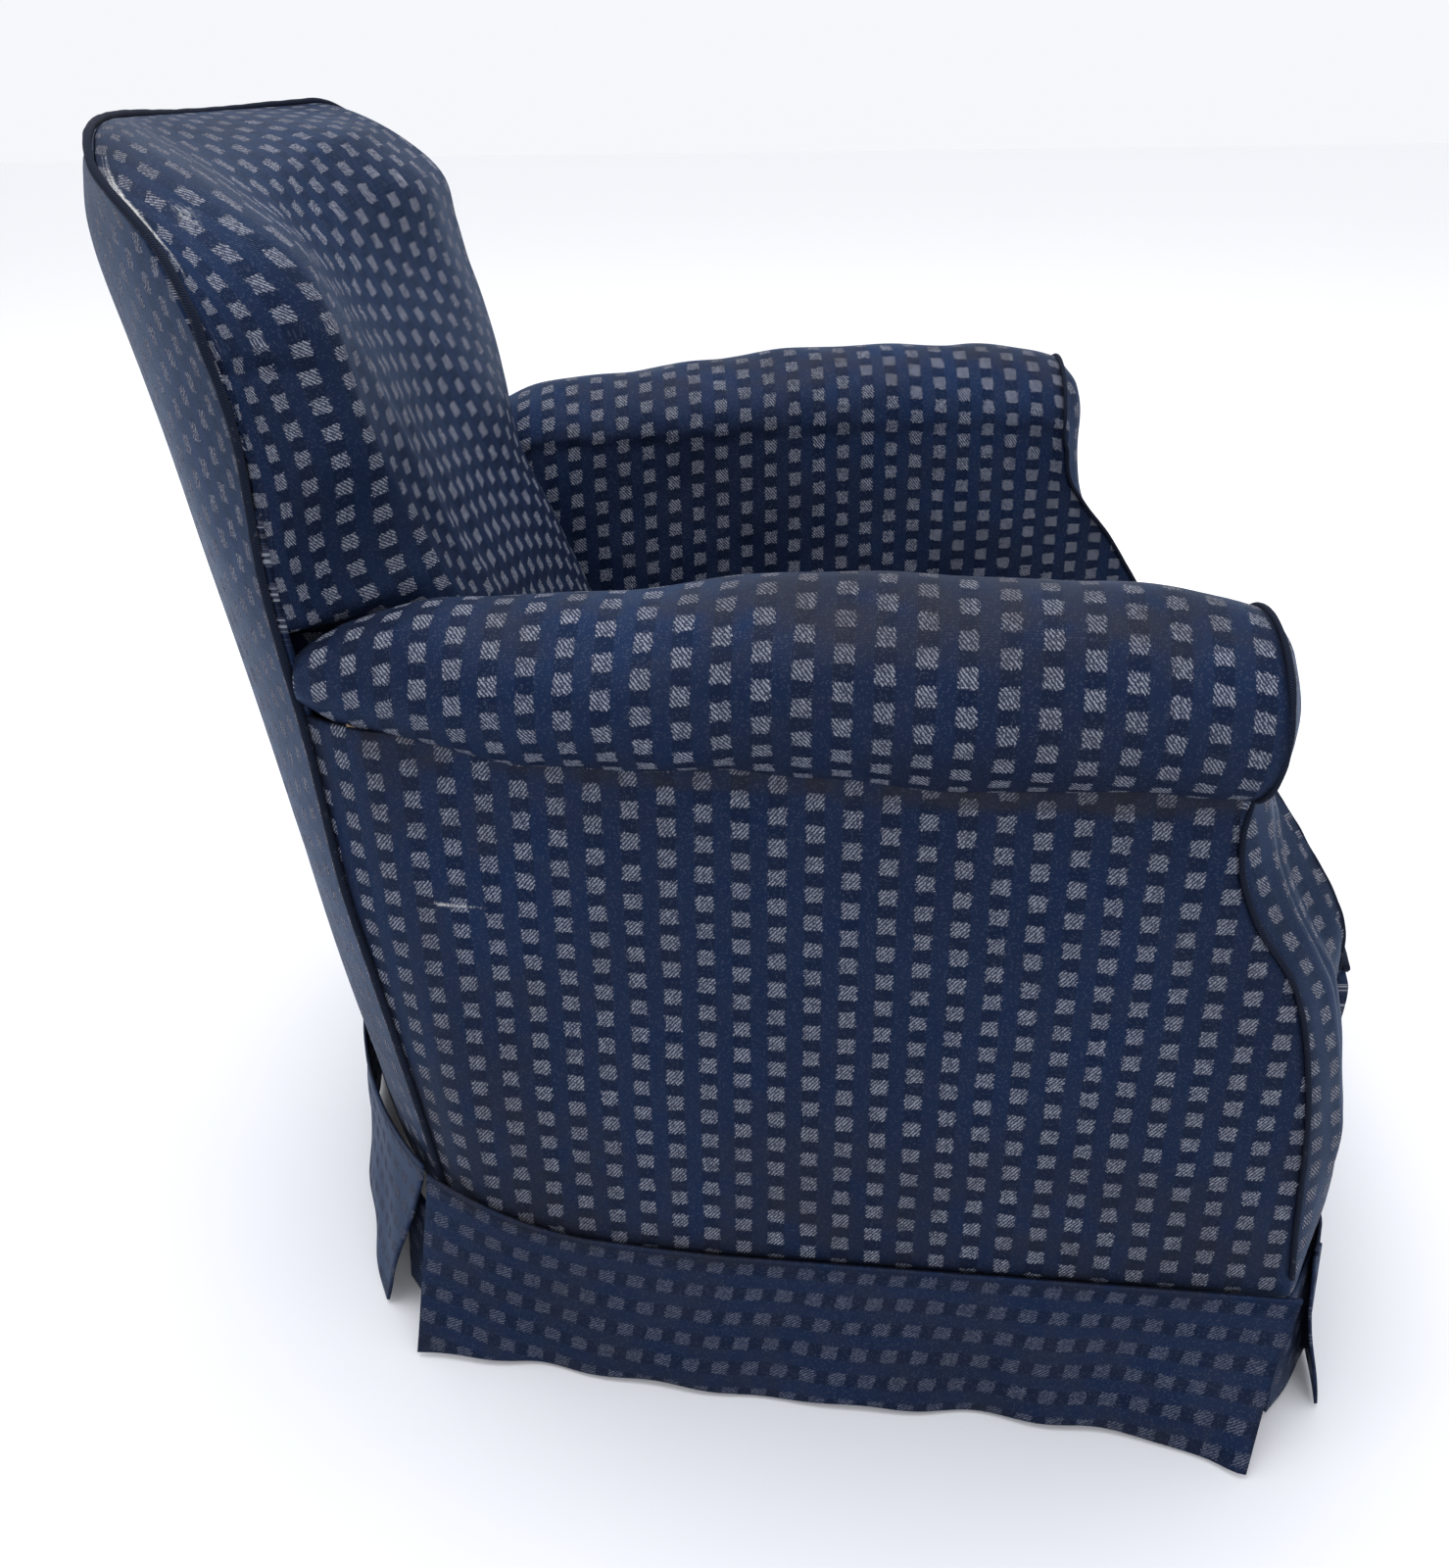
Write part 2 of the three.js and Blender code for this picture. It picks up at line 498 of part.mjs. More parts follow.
const seamMiddle = [-70, 0, 70].map((x) => seamPoint(x, BACK_TOP + SEAM_CLEAR));
place('back_piping', cord(spline([...seamSide(-1), ...seamShoulder(-1), ...seamMiddle,
  ...seamShoulder(1).reverse(), ...seamSide(1).reverse()]), PIPING_RADIUS, 64, 3), darkCord);

// ---------------------------------------------------------------- skirt
const SKIRT_FLARE = THREE.MathUtils.degToRad(9);
const skirtHeight = SKIRT_TOP - SKIRT_HEM;

for (const [sideName, side] of sides) {
  const group = armGroup(side);
  const sheet = place(`skirt_${sideName}`,
    new THREE.BoxGeometry(SKIRT_THICK, 612, skirtHeight).translate(0, -294, -skirtHeight / 2),
    navyCloth, group);
  sheet.position.set(side * 53, 0, SKIRT_TOP);
  sheet.rotation.y = -side * SKIRT_FLARE;
}

// A bowed sheet between two corners, its middle swelling by bow, drawn in plan.
function bowedSheet(half, yEnd, bow, thick) {
  const shape = new THREE.Shape();
  shape.moveTo(-half, yEnd);
  shape.quadraticCurveTo(0, yEnd + 2 * bow, half, yEnd);
  shape.lineTo(half, yEnd + Math.sign(bow) * thick);
  shape.quadraticCurveTo(0, yEnd + 2 * bow + Math.sign(bow) * thick, -half, yEnd + Math.sign(bow) * thick);
  return shape;
}
const FRONT_SKIRT_Y = -420;
const BACK_SKIRT_Y = 240; // ends of the back skirt, which follows the round of the back
const BACK_SKIRT_HALF = 288;
const BACK_SKIRT_FLARE = 0.3;
place('skirt_front',
  raisePlan(bowedSheet(336, FRONT_SKIRT_Y, -14, SKIRT_THICK), SKIRT_HEM, SKIRT_TOP, 10), navyCloth);
const backBow = BACK_ROUND * BACK_SKIRT_HALF ** 2;
place('skirt_back', lean(raisePlan(bowedSheet(BACK_SKIRT_HALF, BACK_SKIRT_Y, backBow, SKIRT_THICK),
  SKIRT_HEM, SKIRT_TOP, 12), -BACK_SKIRT_FLARE, SKIRT_TOP), navyCloth);

// Backing flaps close the corner splits from behind.
const FLAP_WIDTH = 74;
const FLAP_HEIGHT = 104;
for (const [sideName, side] of sides) {
  for (const [endName, x, y, turn] of [['front', 344, -392, 40], ['rear', 284, 228, -38]]) {
    const flap = place(`skirt_flap_${endName}_${sideName}`,
      new THREE.BoxGeometry(FLAP_WIDTH, SKIRT_THICK, FLAP_HEIGHT), navyCloth);
    flap.position.set(side * x, y, SKIRT_HEM + 2 + FLAP_HEIGHT / 2);
    flap.rotation.z = side * THREE.MathUtils.degToRad(turn);
  }
}

export default chair;
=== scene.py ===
# A small, worn tub armchair in navy cloth woven with pale squares. Metres, +Z up, the chair faces -Y.
import math

import bmesh
import bpy
import numpy as np
from mathutils import Matrix, Vector


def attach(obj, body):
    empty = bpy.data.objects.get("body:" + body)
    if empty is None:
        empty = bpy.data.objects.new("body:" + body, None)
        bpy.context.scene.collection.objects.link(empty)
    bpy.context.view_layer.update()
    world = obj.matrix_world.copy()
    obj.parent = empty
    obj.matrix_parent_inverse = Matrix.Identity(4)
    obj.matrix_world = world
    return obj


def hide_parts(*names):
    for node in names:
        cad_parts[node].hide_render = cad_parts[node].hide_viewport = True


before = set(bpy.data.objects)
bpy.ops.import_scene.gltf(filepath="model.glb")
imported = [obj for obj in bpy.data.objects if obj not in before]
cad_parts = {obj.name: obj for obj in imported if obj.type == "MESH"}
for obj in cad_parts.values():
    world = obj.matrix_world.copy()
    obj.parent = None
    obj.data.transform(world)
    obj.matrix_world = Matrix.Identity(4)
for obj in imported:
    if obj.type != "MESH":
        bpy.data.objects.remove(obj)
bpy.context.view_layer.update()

# ---- driving dimensions
CENTRE_SHIFT = -0.014  # the CAD model's own shift, which puts the middle of the depth at Y = 0
PITCH_ACROSS = 0.0226  # from one column of woven squares to the next
PITCH_ALONG = 0.0216  # from one square to the next in a column
SQUARE_WIDE = 0.0109
SQUARE_TALL = 0.0116
PIVOT_X, PIVOT_Y = 0.272, 0.230  # crown of an arm beside the sitter's back
ARM_SPLAY = math.radians(5)
ARM_REAR = 0.052  # along the arm from its pivot
ARM_FRONT = -0.515
RAIL_BOTTOM = 0.118  # lower edge of the covers, behind the skirt
SKIRT_TOP = 0.131  # seam that carries the skirt
SEAT_LINE = 0.308  # seam round the seat
BACK_HALF = 0.260  # half width of the back at its shoulders
SHOULDER_R = (0.106, 0.046)  # the right shoulder is rounder than the left
BACK_TOP = (0.846, 0.834)  # height of the top seam at the right and at the left
PIPING_R = 0.0019
BACK_PIPING_R = 0.0026
SEAT_PIPING_R = 0.0032
PIPING_STEP = 0.004  # between the rings of a cord
PIPING_ROUGH = 0.06
STEP = 0.0065  # spacing of the mesh on the arm covers
RIGHT, LEFT = -1, 1  # the sitter's sides


def through(points, at):
    """A smooth curve without overshoot through (position, value) pairs."""
    x, y = np.array(sorted(points), float).T
    run = np.diff(x)
    rise = np.diff(y) / run
    slope = np.zeros_like(y)
    slope[0], slope[-1] = rise[0], rise[-1]
    both = rise[:-1] * rise[1:]
    slope[1:-1] = np.where(both > 0, 2 * both / np.where(both > 0, rise[:-1] + rise[1:], 1), 0)
    t = np.clip(np.asarray(at, float), x[0], x[-1])
    k = np.clip(np.searchsorted(x, t) - 1, 0, len(run) - 1)
    s = (t - x[k]) / run[k]
    return ((1 + 2 * s) * (1 - s) ** 2 * y[k] + s * (1 - s) ** 2 * run[k] * slope[k]
            + s * s * (3 - 2 * s) * y[k + 1] + s * s * (s - 1) * run[k] * slope[k + 1])


def ramp(low, high, at):
    """0 below low, 1 above high, smooth between. Places are metres on the chair, or shares of a mesh."""
    t = np.clip((np.asarray(at, float) - low) / (high - low), 0, 1)
    return t * t * (3 - 2 * t)


def hump(centre, reach, at):
    """A rounded bump, 1 at its centre."""
    return np.exp(-((np.asarray(at, float) - centre) / reach) ** 2)


def ripple(points, depth, size, seed, waves=7):
    """Smooth seeded unevenness of the given depth, with features of the given size."""
    rng = np.random.default_rng(seed)
    total = np.zeros(points.shape[:-1])
    for _ in range(waves):
        direction = rng.normal(size=3)
        direction /= np.linalg.norm(direction)
        wavelength = size * rng.uniform(0.7, 1.6)
        phase = rng.uniform(0, 2 * math.pi)
        total += np.sin(points @ direction * 2 * math.pi / wavelength + phase)
    return depth * (total / math.sqrt(waves))


def grid_of(x, y, z):
    return np.stack(np.broadcast_arrays(x, y, z), -1).astype(float)


def mirrored(turned, *grids):
    """Grids whose columns run the other way where turned is true, so that both sides face outward."""
    return [grid[:, ::-1] if turned else grid for grid in grids]


def half_of(side):
    return "left" if side == LEFT else "right"


def unit_normals(points):
    across = np.gradient(points, axis=1)
    along = np.gradient(points, axis=0)
    normal = np.cross(across, along)
    return normal / np.maximum(np.linalg.norm(normal, axis=-1, keepdims=True), 1e-12)


def arc_uv(points, middle):
    """Distances over the cloth: across each row from the middle column, and up each column."""
    u = np.zeros(points.shape[:2])
    v = np.zeros(points.shape[:2])
    u[:, 1:] = np.cumsum(np.linalg.norm(np.diff(points, axis=1), axis=-1), axis=1)
    v[1:] = np.cumsum(np.linalg.norm(np.diff(points, axis=0), axis=-1), axis=0)
    return np.stack([u - u[:, middle:middle + 1], v], -1)


def level_uv(points, column, axis):
    """As arc_uv, but anchored to the true position and height of one column, so the weave hangs plumb."""
    uv = arc_uv(points, column)
    way = np.sign(points[0, -1, axis] - points[0, 0, axis])
    uv[..., 0] += way * points[:, column, axis][:, None]
    uv[..., 1] = uv[:, column, 1][:, None]
    return uv


# ---- pieces
def in_scene(name, data):
    made = bpy.data.objects.new(name, data)
    bpy.context.scene.collection.objects.link(made)
    return made


def add_piece(name, verts, faces, uv, material, nodes, masks=None):
    """A mesh object that rides on the chair, with its weave coordinates and its wear and soil, which also
    carry painted highlight and painted shade.
    """
    mesh = bpy.data.meshes.new(name)
    verts = np.array(verts, float)
    verts[:, 1] += CENTRE_SHIFT
    mesh.from_pydata(verts.tolist(), [], [tuple(int(i) for i in f) for f in faces])
    mesh.update()
    layer = mesh.uv_layers.new(name="Weave")
    corner = np.zeros(len(mesh.loops), np.int32)
    mesh.loops.foreach_get("vertex_index", corner)
    layer.data.foreach_set("uv", np.asarray(uv, np.float32)[corner].ravel())
    for key, values in (masks or {}).items():
        attribute = mesh.attributes.new(key, "FLOAT", "POINT")
        attribute.data.foreach_set("value", np.asarray(values, np.float32).ravel())
    body = bmesh.new()
    body.from_mesh(mesh)
    bmesh.ops.recalc_face_normals(body, faces=body.faces)
    body.to_mesh(mesh)
    body.free()
    mesh.polygons.foreach_set("use_smooth", [True] * len(mesh.polygons))
    mesh.materials.append(material)
    piece = in_scene(name, mesh)
    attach(piece, "root")
    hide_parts(*nodes)
    return piece


def shell_faces(rows, cols):
    index = np.arange(rows * cols).reshape(rows, cols)
    quads = np.stack([index[:-1, :-1], index[:-1, 1:], index[1:, 1:], index[1:, :-1]], -1).reshape(-1, 4)
    under = quads[:, ::-1] + rows * cols
    rim = np.concatenate([index[0, :], index[1:, -1], index[-1, -2::-1], index[-2:0:-1, 0]])
    after = np.roll(rim, -1)
    edge = np.stack([after, rim, rim + rows * cols, after + rows * cols], -1)
    return np.concatenate([quads, under, edge])


def add_shell(name, outer, inner, uv, material, nodes, wear_and_highlight=None, soil_and_shade=None):
    """A closed cover between two grids of the same size."""
    rows, cols = outer.shape[:2]
    verts = np.concatenate([outer.reshape(-1, 3), inner.reshape(-1, 3)])
    both = np.concatenate([uv.reshape(-1, 2)] * 2)
    masks = {}
    for key, values in (("wear_and_highlight", wear_and_highlight), ("soil_and_shade", soil_and_shade)):
        level = np.broadcast_to(0.0 if values is None else values, (rows, cols))
        masks[key] = np.concatenate([np.clip(level, 0, 1).ravel()] * 2)
    return add_piece(name, verts, shell_faces(rows, cols), both, material, nodes, masks)


def tube(path, radius, sides=8, rough=0.0, seed=0):
    """Vertices, faces and weave coordinates of a capped cord along a path."""
    path = np.array(path, float)
    tangent = np.gradient(path, axis=0)
    tangent /= np.linalg.norm(tangent, axis=1)[:, None]
    normal = np.cross(tangent[0], (0.3, 0.5, 0.8))
    length = np.concatenate([[0], np.cumsum(np.linalg.norm(np.diff(path, axis=0), axis=1))])
    verts, uv = [], []
    uneven = 1 + ripple(path, depth=rough, size=0.02, seed=seed)
    for point, along, size, way in zip(path, tangent, uneven, length):
        normal = normal - along * (normal @ along)
        normal /= np.linalg.norm(normal)
        other = np.cross(along, normal)
        for k in range(sides):
            angle = 2 * math.pi * k / sides
            verts.append(point + radius * size * (math.cos(angle) * normal + math.sin(angle) * other))
            uv.append((k / sides * 2 * math.pi * radius, way))
    faces = []
    for row in range(len(path) - 1):
        for k in range(sides):
            a, b = row * sides + k, row * sides + (k + 1) % sides
            faces.append((a, b, b + sides, a + sides))
    faces.append(tuple(range(sides))[::-1])
    faces.append(tuple(range((len(path) - 1) * sides, len(path) * sides)))
    return verts, faces, uv


def resample(points, step):
    """Points at even steps along a smooth path through the given ones."""
    points = np.array(points, float)
    length = np.concatenate([[0], np.cumsum(np.linalg.norm(np.diff(points, axis=0), axis=1))])
    fine = np.linspace(0, length[-1], max(2, int(length[-1] / step)))
    return np.stack([through(list(zip(length, points[:, k])), fine) for k in range(3)], -1)


def add_piping(name, points, nodes, radius=PIPING_R):
    """A sewn-in cord, a little uneven."""
    path = resample(points, PIPING_STEP)
    verts, faces, uv = tube(path, radius, rough=PIPING_ROUGH, seed=len(name))
    add_piece(name, verts, faces, uv, CORD, nodes)


# ---- material helpers
class Graph:
    """Short calls for building a material's nodes."""

    def __init__(self, name):
        self.material = bpy.data.materials.new(name)
        self.material.use_nodes = True
        self.tree = self.material.node_tree
        self.shader = self.tree.nodes["Principled BSDF"]

    def feed(self, socket, value):
        if isinstance(value, bpy.types.NodeSocket):
            self.tree.links.new(value, socket)
        else:
            socket.default_value = value

    def node(self, kind, output, inputs, **settings):
        """A new node with its inputs fed, by name or by number. Gives one of its outputs."""
        made = self.tree.nodes.new(kind)
        for key, value in settings.items():
            setattr(made, key, value)
        for key, value in inputs.items():
            self.feed(made.inputs[key], value)
        return made.outputs[output]

    def math(self, operation, a, b=0.0):
        return self.node("ShaderNodeMath", 0, {0: a, 1: b}, operation=operation)

    def times(self, a, b):
        return self.math("MULTIPLY", a, b)

    def over(self, a, b):
        return self.math("DIVIDE", a, b)

    def plus(self, a, b):
        return self.math("ADD", a, b)

    def minus(self, a, b):
        return self.math("SUBTRACT", a, b)

    def smooth(self, value, low, high):
        return self.node("ShaderNodeMapRange", "Result", {"Value": value, "From Min": low, "From Max": high},
                         interpolation_type="SMOOTHSTEP")

    def mix(self, amount, first, second):
        return self.node("ShaderNodeMix", 2, {0: amount, 6: first, 7: second}, data_type="RGBA")

    def noise(self, vector, scale, detail=2.0, roughness=0.5, distortion=0.0):
        return self.node("ShaderNodeTexNoise", "Fac", {
            "Vector": vector, "Scale": scale, "Detail": detail, "Roughness": roughness,
            "Distortion": distortion})

    def combine(self, x, y):
        return self.node("ShaderNodeCombineXYZ", 0, {0: x, 1: y})

    def bump(self, height, distance, strength=1.0, normal=None):
        inputs = {"Distance": distance, "Strength": strength, "Height": height}
        if normal is not None:
            inputs["Normal"] = normal
        return self.node("ShaderNodeBump", "Normal", inputs)

    def attribute(self, name):
        return self.node("ShaderNodeAttribute", "Fac", {}, attribute_name=name)

    def jitter(self, thread):
        """A random step of up to half of RAGGED for each thread."""
        chance = self.node("ShaderNodeTexWhiteNoise", "Value", {"W": thread}, noise_dimensions="1D")
        return self.times(self.minus(chance, 0.5), RAGGED)

    def weave(self):
        """Weave coordinates in metres: the pair, across and along."""
        place = self.node("ShaderNodeUVMap", 0, {}, uv_map="Weave")
        return place, *self.split(place)

    def split(self, vector):
        """The X and the Y of a vector."""
        return self.node("ShaderNodeSeparateXYZ", slice(2), {0: vector})

    def spot(self):
        """Place on the object, in metres."""
        return self.node("ShaderNodeTexCoord", "Object", {})

    def finish(self, **values):
        """Wire or set the shader's inputs, named with underscores for spaces."""
        for key, value in values.items():
            self.feed(self.shader.inputs[key.replace("_", " ")], value)
        return self.material


def rgb(red, green, blue):
    return (red, green, blue, 1.0)


NAVY = rgb(0.0092, 0.0192, 0.0530)
# darker navy for the painted shade between the squares of a column
NAVY_SHADE = rgb(0.0034, 0.0070, 0.021)
NAVY_FADED = rgb(0.0066, 0.0135, 0.0380)
FLECK = rgb(0.045, 0.055, 0.09)
PALE_YARN = rgb(0.235, 0.255, 0.315)
PALE_YARN_DARK = rgb(0.012, 0.021, 0.055)
# pale colour of abrasion, also used for the painted highlight along the inside back's right ridge
ABRASION_AND_HIGHLIGHT = rgb(0.55, 0.55, 0.54)
# colour of soil, also used for the painted shade under the arm rolls
SOIL_AND_SHADE = rgb(0.026, 0.023, 0.022)
GREY_DUST = rgb(0.09, 0.085, 0.085)
YELLOWED_YARN = rgb(0.150, 0.135, 0.120)
THREAD = 0.0009  # width of one woven thread
TWILL_PITCH = 0.0026  # between the slanted lines in a square
TWILL_SLANT = 0.8
DRIFT = 0.09  # how far columns wander, as a share of the pitch
RAGGED = 0.075  # how far threads step the edge of a square, as a share of the pitch
SQUARE_EDGE = 0.012  # softness of that edge, as a share of the pitch
SATIN_METAL = 0.45  # the satin ground shines in its own colour
SATIN_ROUGH = 0.37


def woven_cloth(name, contrast=1.0, dust=0.02, sheen=0.02):
    """Navy satin cloth with columns of raised pale squares, each column half a step from the next."""
    g = Graph(name)
    place, u, v = g.weave()
    thread_u = g.math("FLOOR", g.over(u, THREAD))
    thread_v = g.math("FLOOR", g.over(v, THREAD))
    shift = g.times(g.minus(g.noise(place, 55.0, 2.0), 0.5), DRIFT)
    across = g.plus(g.over(u, PITCH_ACROSS), shift)
    half_step = g.times(g.math("FLOORED_MODULO", g.math("FLOOR", across), 2.0), 0.5)
    along = g.plus(g.plus(g.over(v, PITCH_ALONG), half_step), shift)
    from_column = g.math("ABSOLUTE", g.minus(g.math("FRACT", across), 0.5))
    from_square = g.math("ABSOLUTE", g.minus(g.math("FRACT", along), 0.5))
    # threads step the edges of the squares
    half_wide = SQUARE_WIDE / PITCH_ACROSS / 2
    half_tall = SQUARE_TALL / PITCH_ALONG / 2
    in_column = g.smooth(g.plus(from_column, g.jitter(thread_v)),
                         half_wide + SQUARE_EDGE, half_wide - SQUARE_EDGE)
    in_row = g.smooth(g.plus(from_square, g.jitter(thread_u)),
                      half_tall + SQUARE_EDGE, half_tall - SQUARE_EDGE)
    square = g.times(in_column, in_row)
    # painted shade: darker navy in the gaps between the squares of a column, standing in for the shadow of
    # the raised squares
    gap_shade = g.times(g.smooth(from_column, half_wide + 0.05, half_wide - 0.02), g.minus(1.0, in_row))
    # fine diagonal twill in the squares, broken into short floats
    bend = g.times(g.noise(place, 420.0, 1.0), 0.0016)
    slanted = g.plus(g.plus(u, g.times(v, TWILL_SLANT)), bend)
    lines = g.math("SINE", g.times(slanted, 2 * math.pi / TWILL_PITCH))
    grain = g.node("ShaderNodeTexWhiteNoise", "Value", {"Vector": g.combine(thread_u, thread_v)},
                   noise_dimensions="2D")
    broken = g.times(g.minus(grain, 0.5), 1.8)
    twill = g.smooth(g.plus(lines, broken), -0.15, 0.85)
    fleck = g.smooth(grain, 0.80, 0.98)
    rib_u = g.math("ABSOLUTE", g.math("SINE", g.times(u, math.pi / THREAD)))
    rib_v = g.math("ABSOLUTE", g.math("SINE", g.times(v, math.pi / THREAD)))
    # large uneven fading, dust and soil; the soil mask also carries painted shade under the arm rolls
    spot = g.spot()
    cloudy = g.noise(spot, 5.0, 4.0, 0.6)
    patchy = g.noise(spot, 28.0, 3.0, 0.6)
    soil_and_shade = g.times(g.attribute("soil_and_shade"), g.smooth(g.plus(cloudy, patchy), 0.72, 1.25))
    # abrasion, broken up along the threads; the wear mask also carries a painted highlight along the inside
    # back's right ridge
    fray = g.noise(g.combine(g.times(u, 900.0), g.times(v, 260.0)), 1.0, 3.0, 0.7)
    uneven_wear_and_highlight = g.plus(g.attribute("wear_and_highlight"), g.times(g.minus(patchy, 0.5), 0.5))
    wear_and_highlight = g.smooth(g.plus(uneven_wear_and_highlight, g.times(g.minus(fray, 0.5), 0.8)), 0.52, 0.95)
    yarn = g.mix(twill, PALE_YARN_DARK, PALE_YARN)
    yarn = g.mix(g.times(cloudy, 0.24), yarn, YELLOWED_YARN)
    ground = g.mix(g.smooth(cloudy, 0.3, 0.75), NAVY, NAVY_FADED)
    ground = g.mix(g.times(gap_shade, 0.55), ground, NAVY_SHADE)
    ground = g.mix(g.times(fleck, 0.50), ground, FLECK)
    colour = g.mix(g.times(square, contrast), ground, yarn)
    colour = g.mix(g.times(g.smooth(patchy, 0.35, 0.8), dust), colour, GREY_DUST)
    colour = g.mix(g.times(soil_and_shade, 0.55), colour, SOIL_AND_SHADE)
    colour = g.mix(wear_and_highlight, colour, ABRASION_AND_HIGHLIGHT)
    rough = g.plus(g.plus(SATIN_ROUGH, g.times(square, 0.38)), g.times(soil_and_shade, 0.12))
    raised = g.times(square, g.plus(0.7, g.times(twill, 0.5)))
    fine = g.times(g.times(rib_u, rib_v), 0.35)
    height = g.plus(g.plus(raised, fine), g.times(fray, 0.25))
    coarse = g.bump(patchy, 0.0012, 0.35)
    return g.finish(Base_Color=colour, Metallic=g.times(g.minus(1.0, square), SATIN_METAL),
                    Roughness=g.math("MINIMUM", rough, 0.95), Normal=g.bump(height, 0.00045, 0.9, coarse),
                    Specular_IOR_Level=0.05, Specular_Tint=rgb(0.55, 0.72, 1.0), Sheen_Weight=sheen,
                    Sheen_Roughness=0.38, Sheen_Tint=rgb(0.55, 0.60, 0.90))


def dark_cord():
    """Navy bias cloth wound over the piping cord."""
    g = Graph("cord_cloth")
    _, u, v = g.weave()
    wound = g.plus(v, g.times(u, 0.6))
    wrap = g.smooth(g.math("SINE", g.times(wound, 2 * math.pi / 0.0016)), -0.6, 0.6)
    lint = g.smooth(g.noise(g.spot(), 160.0, 3.0, 0.7), 0.60, 0.74)
    colour = g.mix(wrap, rgb(0.0032, 0.0048, 0.011), rgb(0.011, 0.016, 0.034))
    colour = g.mix(g.times(lint, 0.35), colour, rgb(0.10, 0.10, 0.11))
    return g.finish(Base_Color=colour, Normal=g.bump(wrap, 0.0004, 0.8), Roughness=0.85,
                    Specular_IOR_Level=0.06, Sheen_Weight=0.02)


def beech_wood():
    g = Graph("aged_beech")
    spot = g.spot()
    squeezed = g.node("ShaderNodeMapping", 0, {"Vector": spot, "Scale": (60.0, 60.0, 5.0)})
    grain = g.noise(squeezed, 1.0, 6.0, 0.65, 0.6)
    fleck = g.smooth(g.noise(spot, 380.0, 2.0), 0.58, 0.70)
    grime = g.smooth(g.noise(spot, 9.0, 4.0, 0.6), 0.45, 0.75)
    colour = g.mix(g.smooth(grain, 0.35, 0.65), rgb(0.20, 0.115, 0.058), rgb(0.40, 0.26, 0.145))
    colour = g.mix(g.times(fleck, 0.35), colour, rgb(0.12, 0.066, 0.035))
    colour = g.mix(g.times(grime, 0.5), colour, rgb(0.075, 0.055, 0.040))
    return g.finish(Base_Color=colour, Roughness=g.plus(0.5, g.times(grain, 0.3)),
                    Normal=g.bump(grain, 0.0006, 0.6))


def worn_steel(name, bright, rust, roughness):
    g = Graph(name)
    spot = g.spot()
    scratch = g.noise(spot, 900.0, 2.0, 0.8)
    patch = g.smooth(g.noise(spot, 70.0, 4.0, 0.65), 0.48, 0.66)
    return g.finish(Base_Color=g.mix(patch, bright, rust), Metallic=g.minus(0.95, g.times(patch, 0.6)),
                    Roughness=g.plus(roughness, g.times(scratch, 0.3)), Normal=g.bump(scratch, 0.0002, 0.5))


def plain_weave(name, light, dark, pitch):
    """Coarse over-and-under weave for webbing and canvas, from the object's own X and Y."""
    g = Graph(name)
    spot = g.spot()
    x, y = g.split(spot)
    turn = 2 * math.pi / pitch
    warp = g.math("SINE", g.times(x, turn))
    weft = g.math("SINE", g.times(y, turn))
    crossing = g.smooth(g.times(warp, weft), -0.6, 0.6)
    slub = g.noise(spot, 260.0, 4.0, 0.7)
    colour = g.mix(crossing, dark, light)
    colour = g.mix(g.smooth(slub, 0.4, 0.75), colour, light)
    return g.finish(Base_Color=colour, Roughness=0.92, Normal=g.bump(g.plus(crossing, slub), 0.0007, 0.8))


COVER = woven_cloth("navy_square_cloth")
SKIRT = woven_cloth("navy_square_cloth_skirt", contrast=0.34, dust=0.05)
CORD = dark_cord()

# ---- the back
SEAM_HALF = [(0.118, 0.297), (0.160, 0.294), (0.364, 0.287), (0.510, 0.276), (0.560, 0.270),
             (0.716, 0.262), (0.757, BACK_HALF)]
BACK_MIDDLE = [(0.118, 0.347), (0.200, 0.356), (0.370, 0.378), (0.520, 0.4005), (0.600, 0.416),
               (0.716, 0.441), (0.785, 0.450), (0.820, 0.441), (0.847, 0.420)]
BACK_ROUND = [(0.118, 1.3), (0.370, 1.3), (0.520, 1.5), (0.600, 1.65), (0.716, 2.0), (0.785, 2.0),
              (0.847, 1.15)]
BACK_CLOTH = 0.006
BACK_DRAWN_IN = 0.004  # at the side seams, below the shoulders
SEAM_AHEAD = 0.003  # from the outside back to its side seams
PIPING_PROUD = 0.0022  # the back piping's centre, outside the side seams
TOP_PIPING_PROUD = 0.0016  # the same over the shoulders and the top


def back_y(x, z):
    """The rounded outside back."""
    return through(BACK_MIDDLE, z) - through(BACK_ROUND, z) * np.asarray(x) ** 2


def seam_half(z):
    return through(SEAM_HALF, z)


def across_back(pair, x):
    """A value that changes smoothly from the right side of the back to the left."""
    return pair[0] + (pair[1] - pair[0]) * ramp(-0.14, 0.14, x)


def top_dip(x):
    """The top falls a little toward the worn right shoulder."""
    return 0.2 * np.minimum(x, 0) ** 2


def top_z(x):
    """Height of the top seam."""
    round_r = across_back(SHOULDER_R, x)
    beyond = np.clip(np.abs(x) - (BACK_HALF - round_r), 0, round_r)
    return across_back(BACK_TOP, x) - top_dip(x) - round_r + np.sqrt(round_r ** 2 - beyond ** 2)


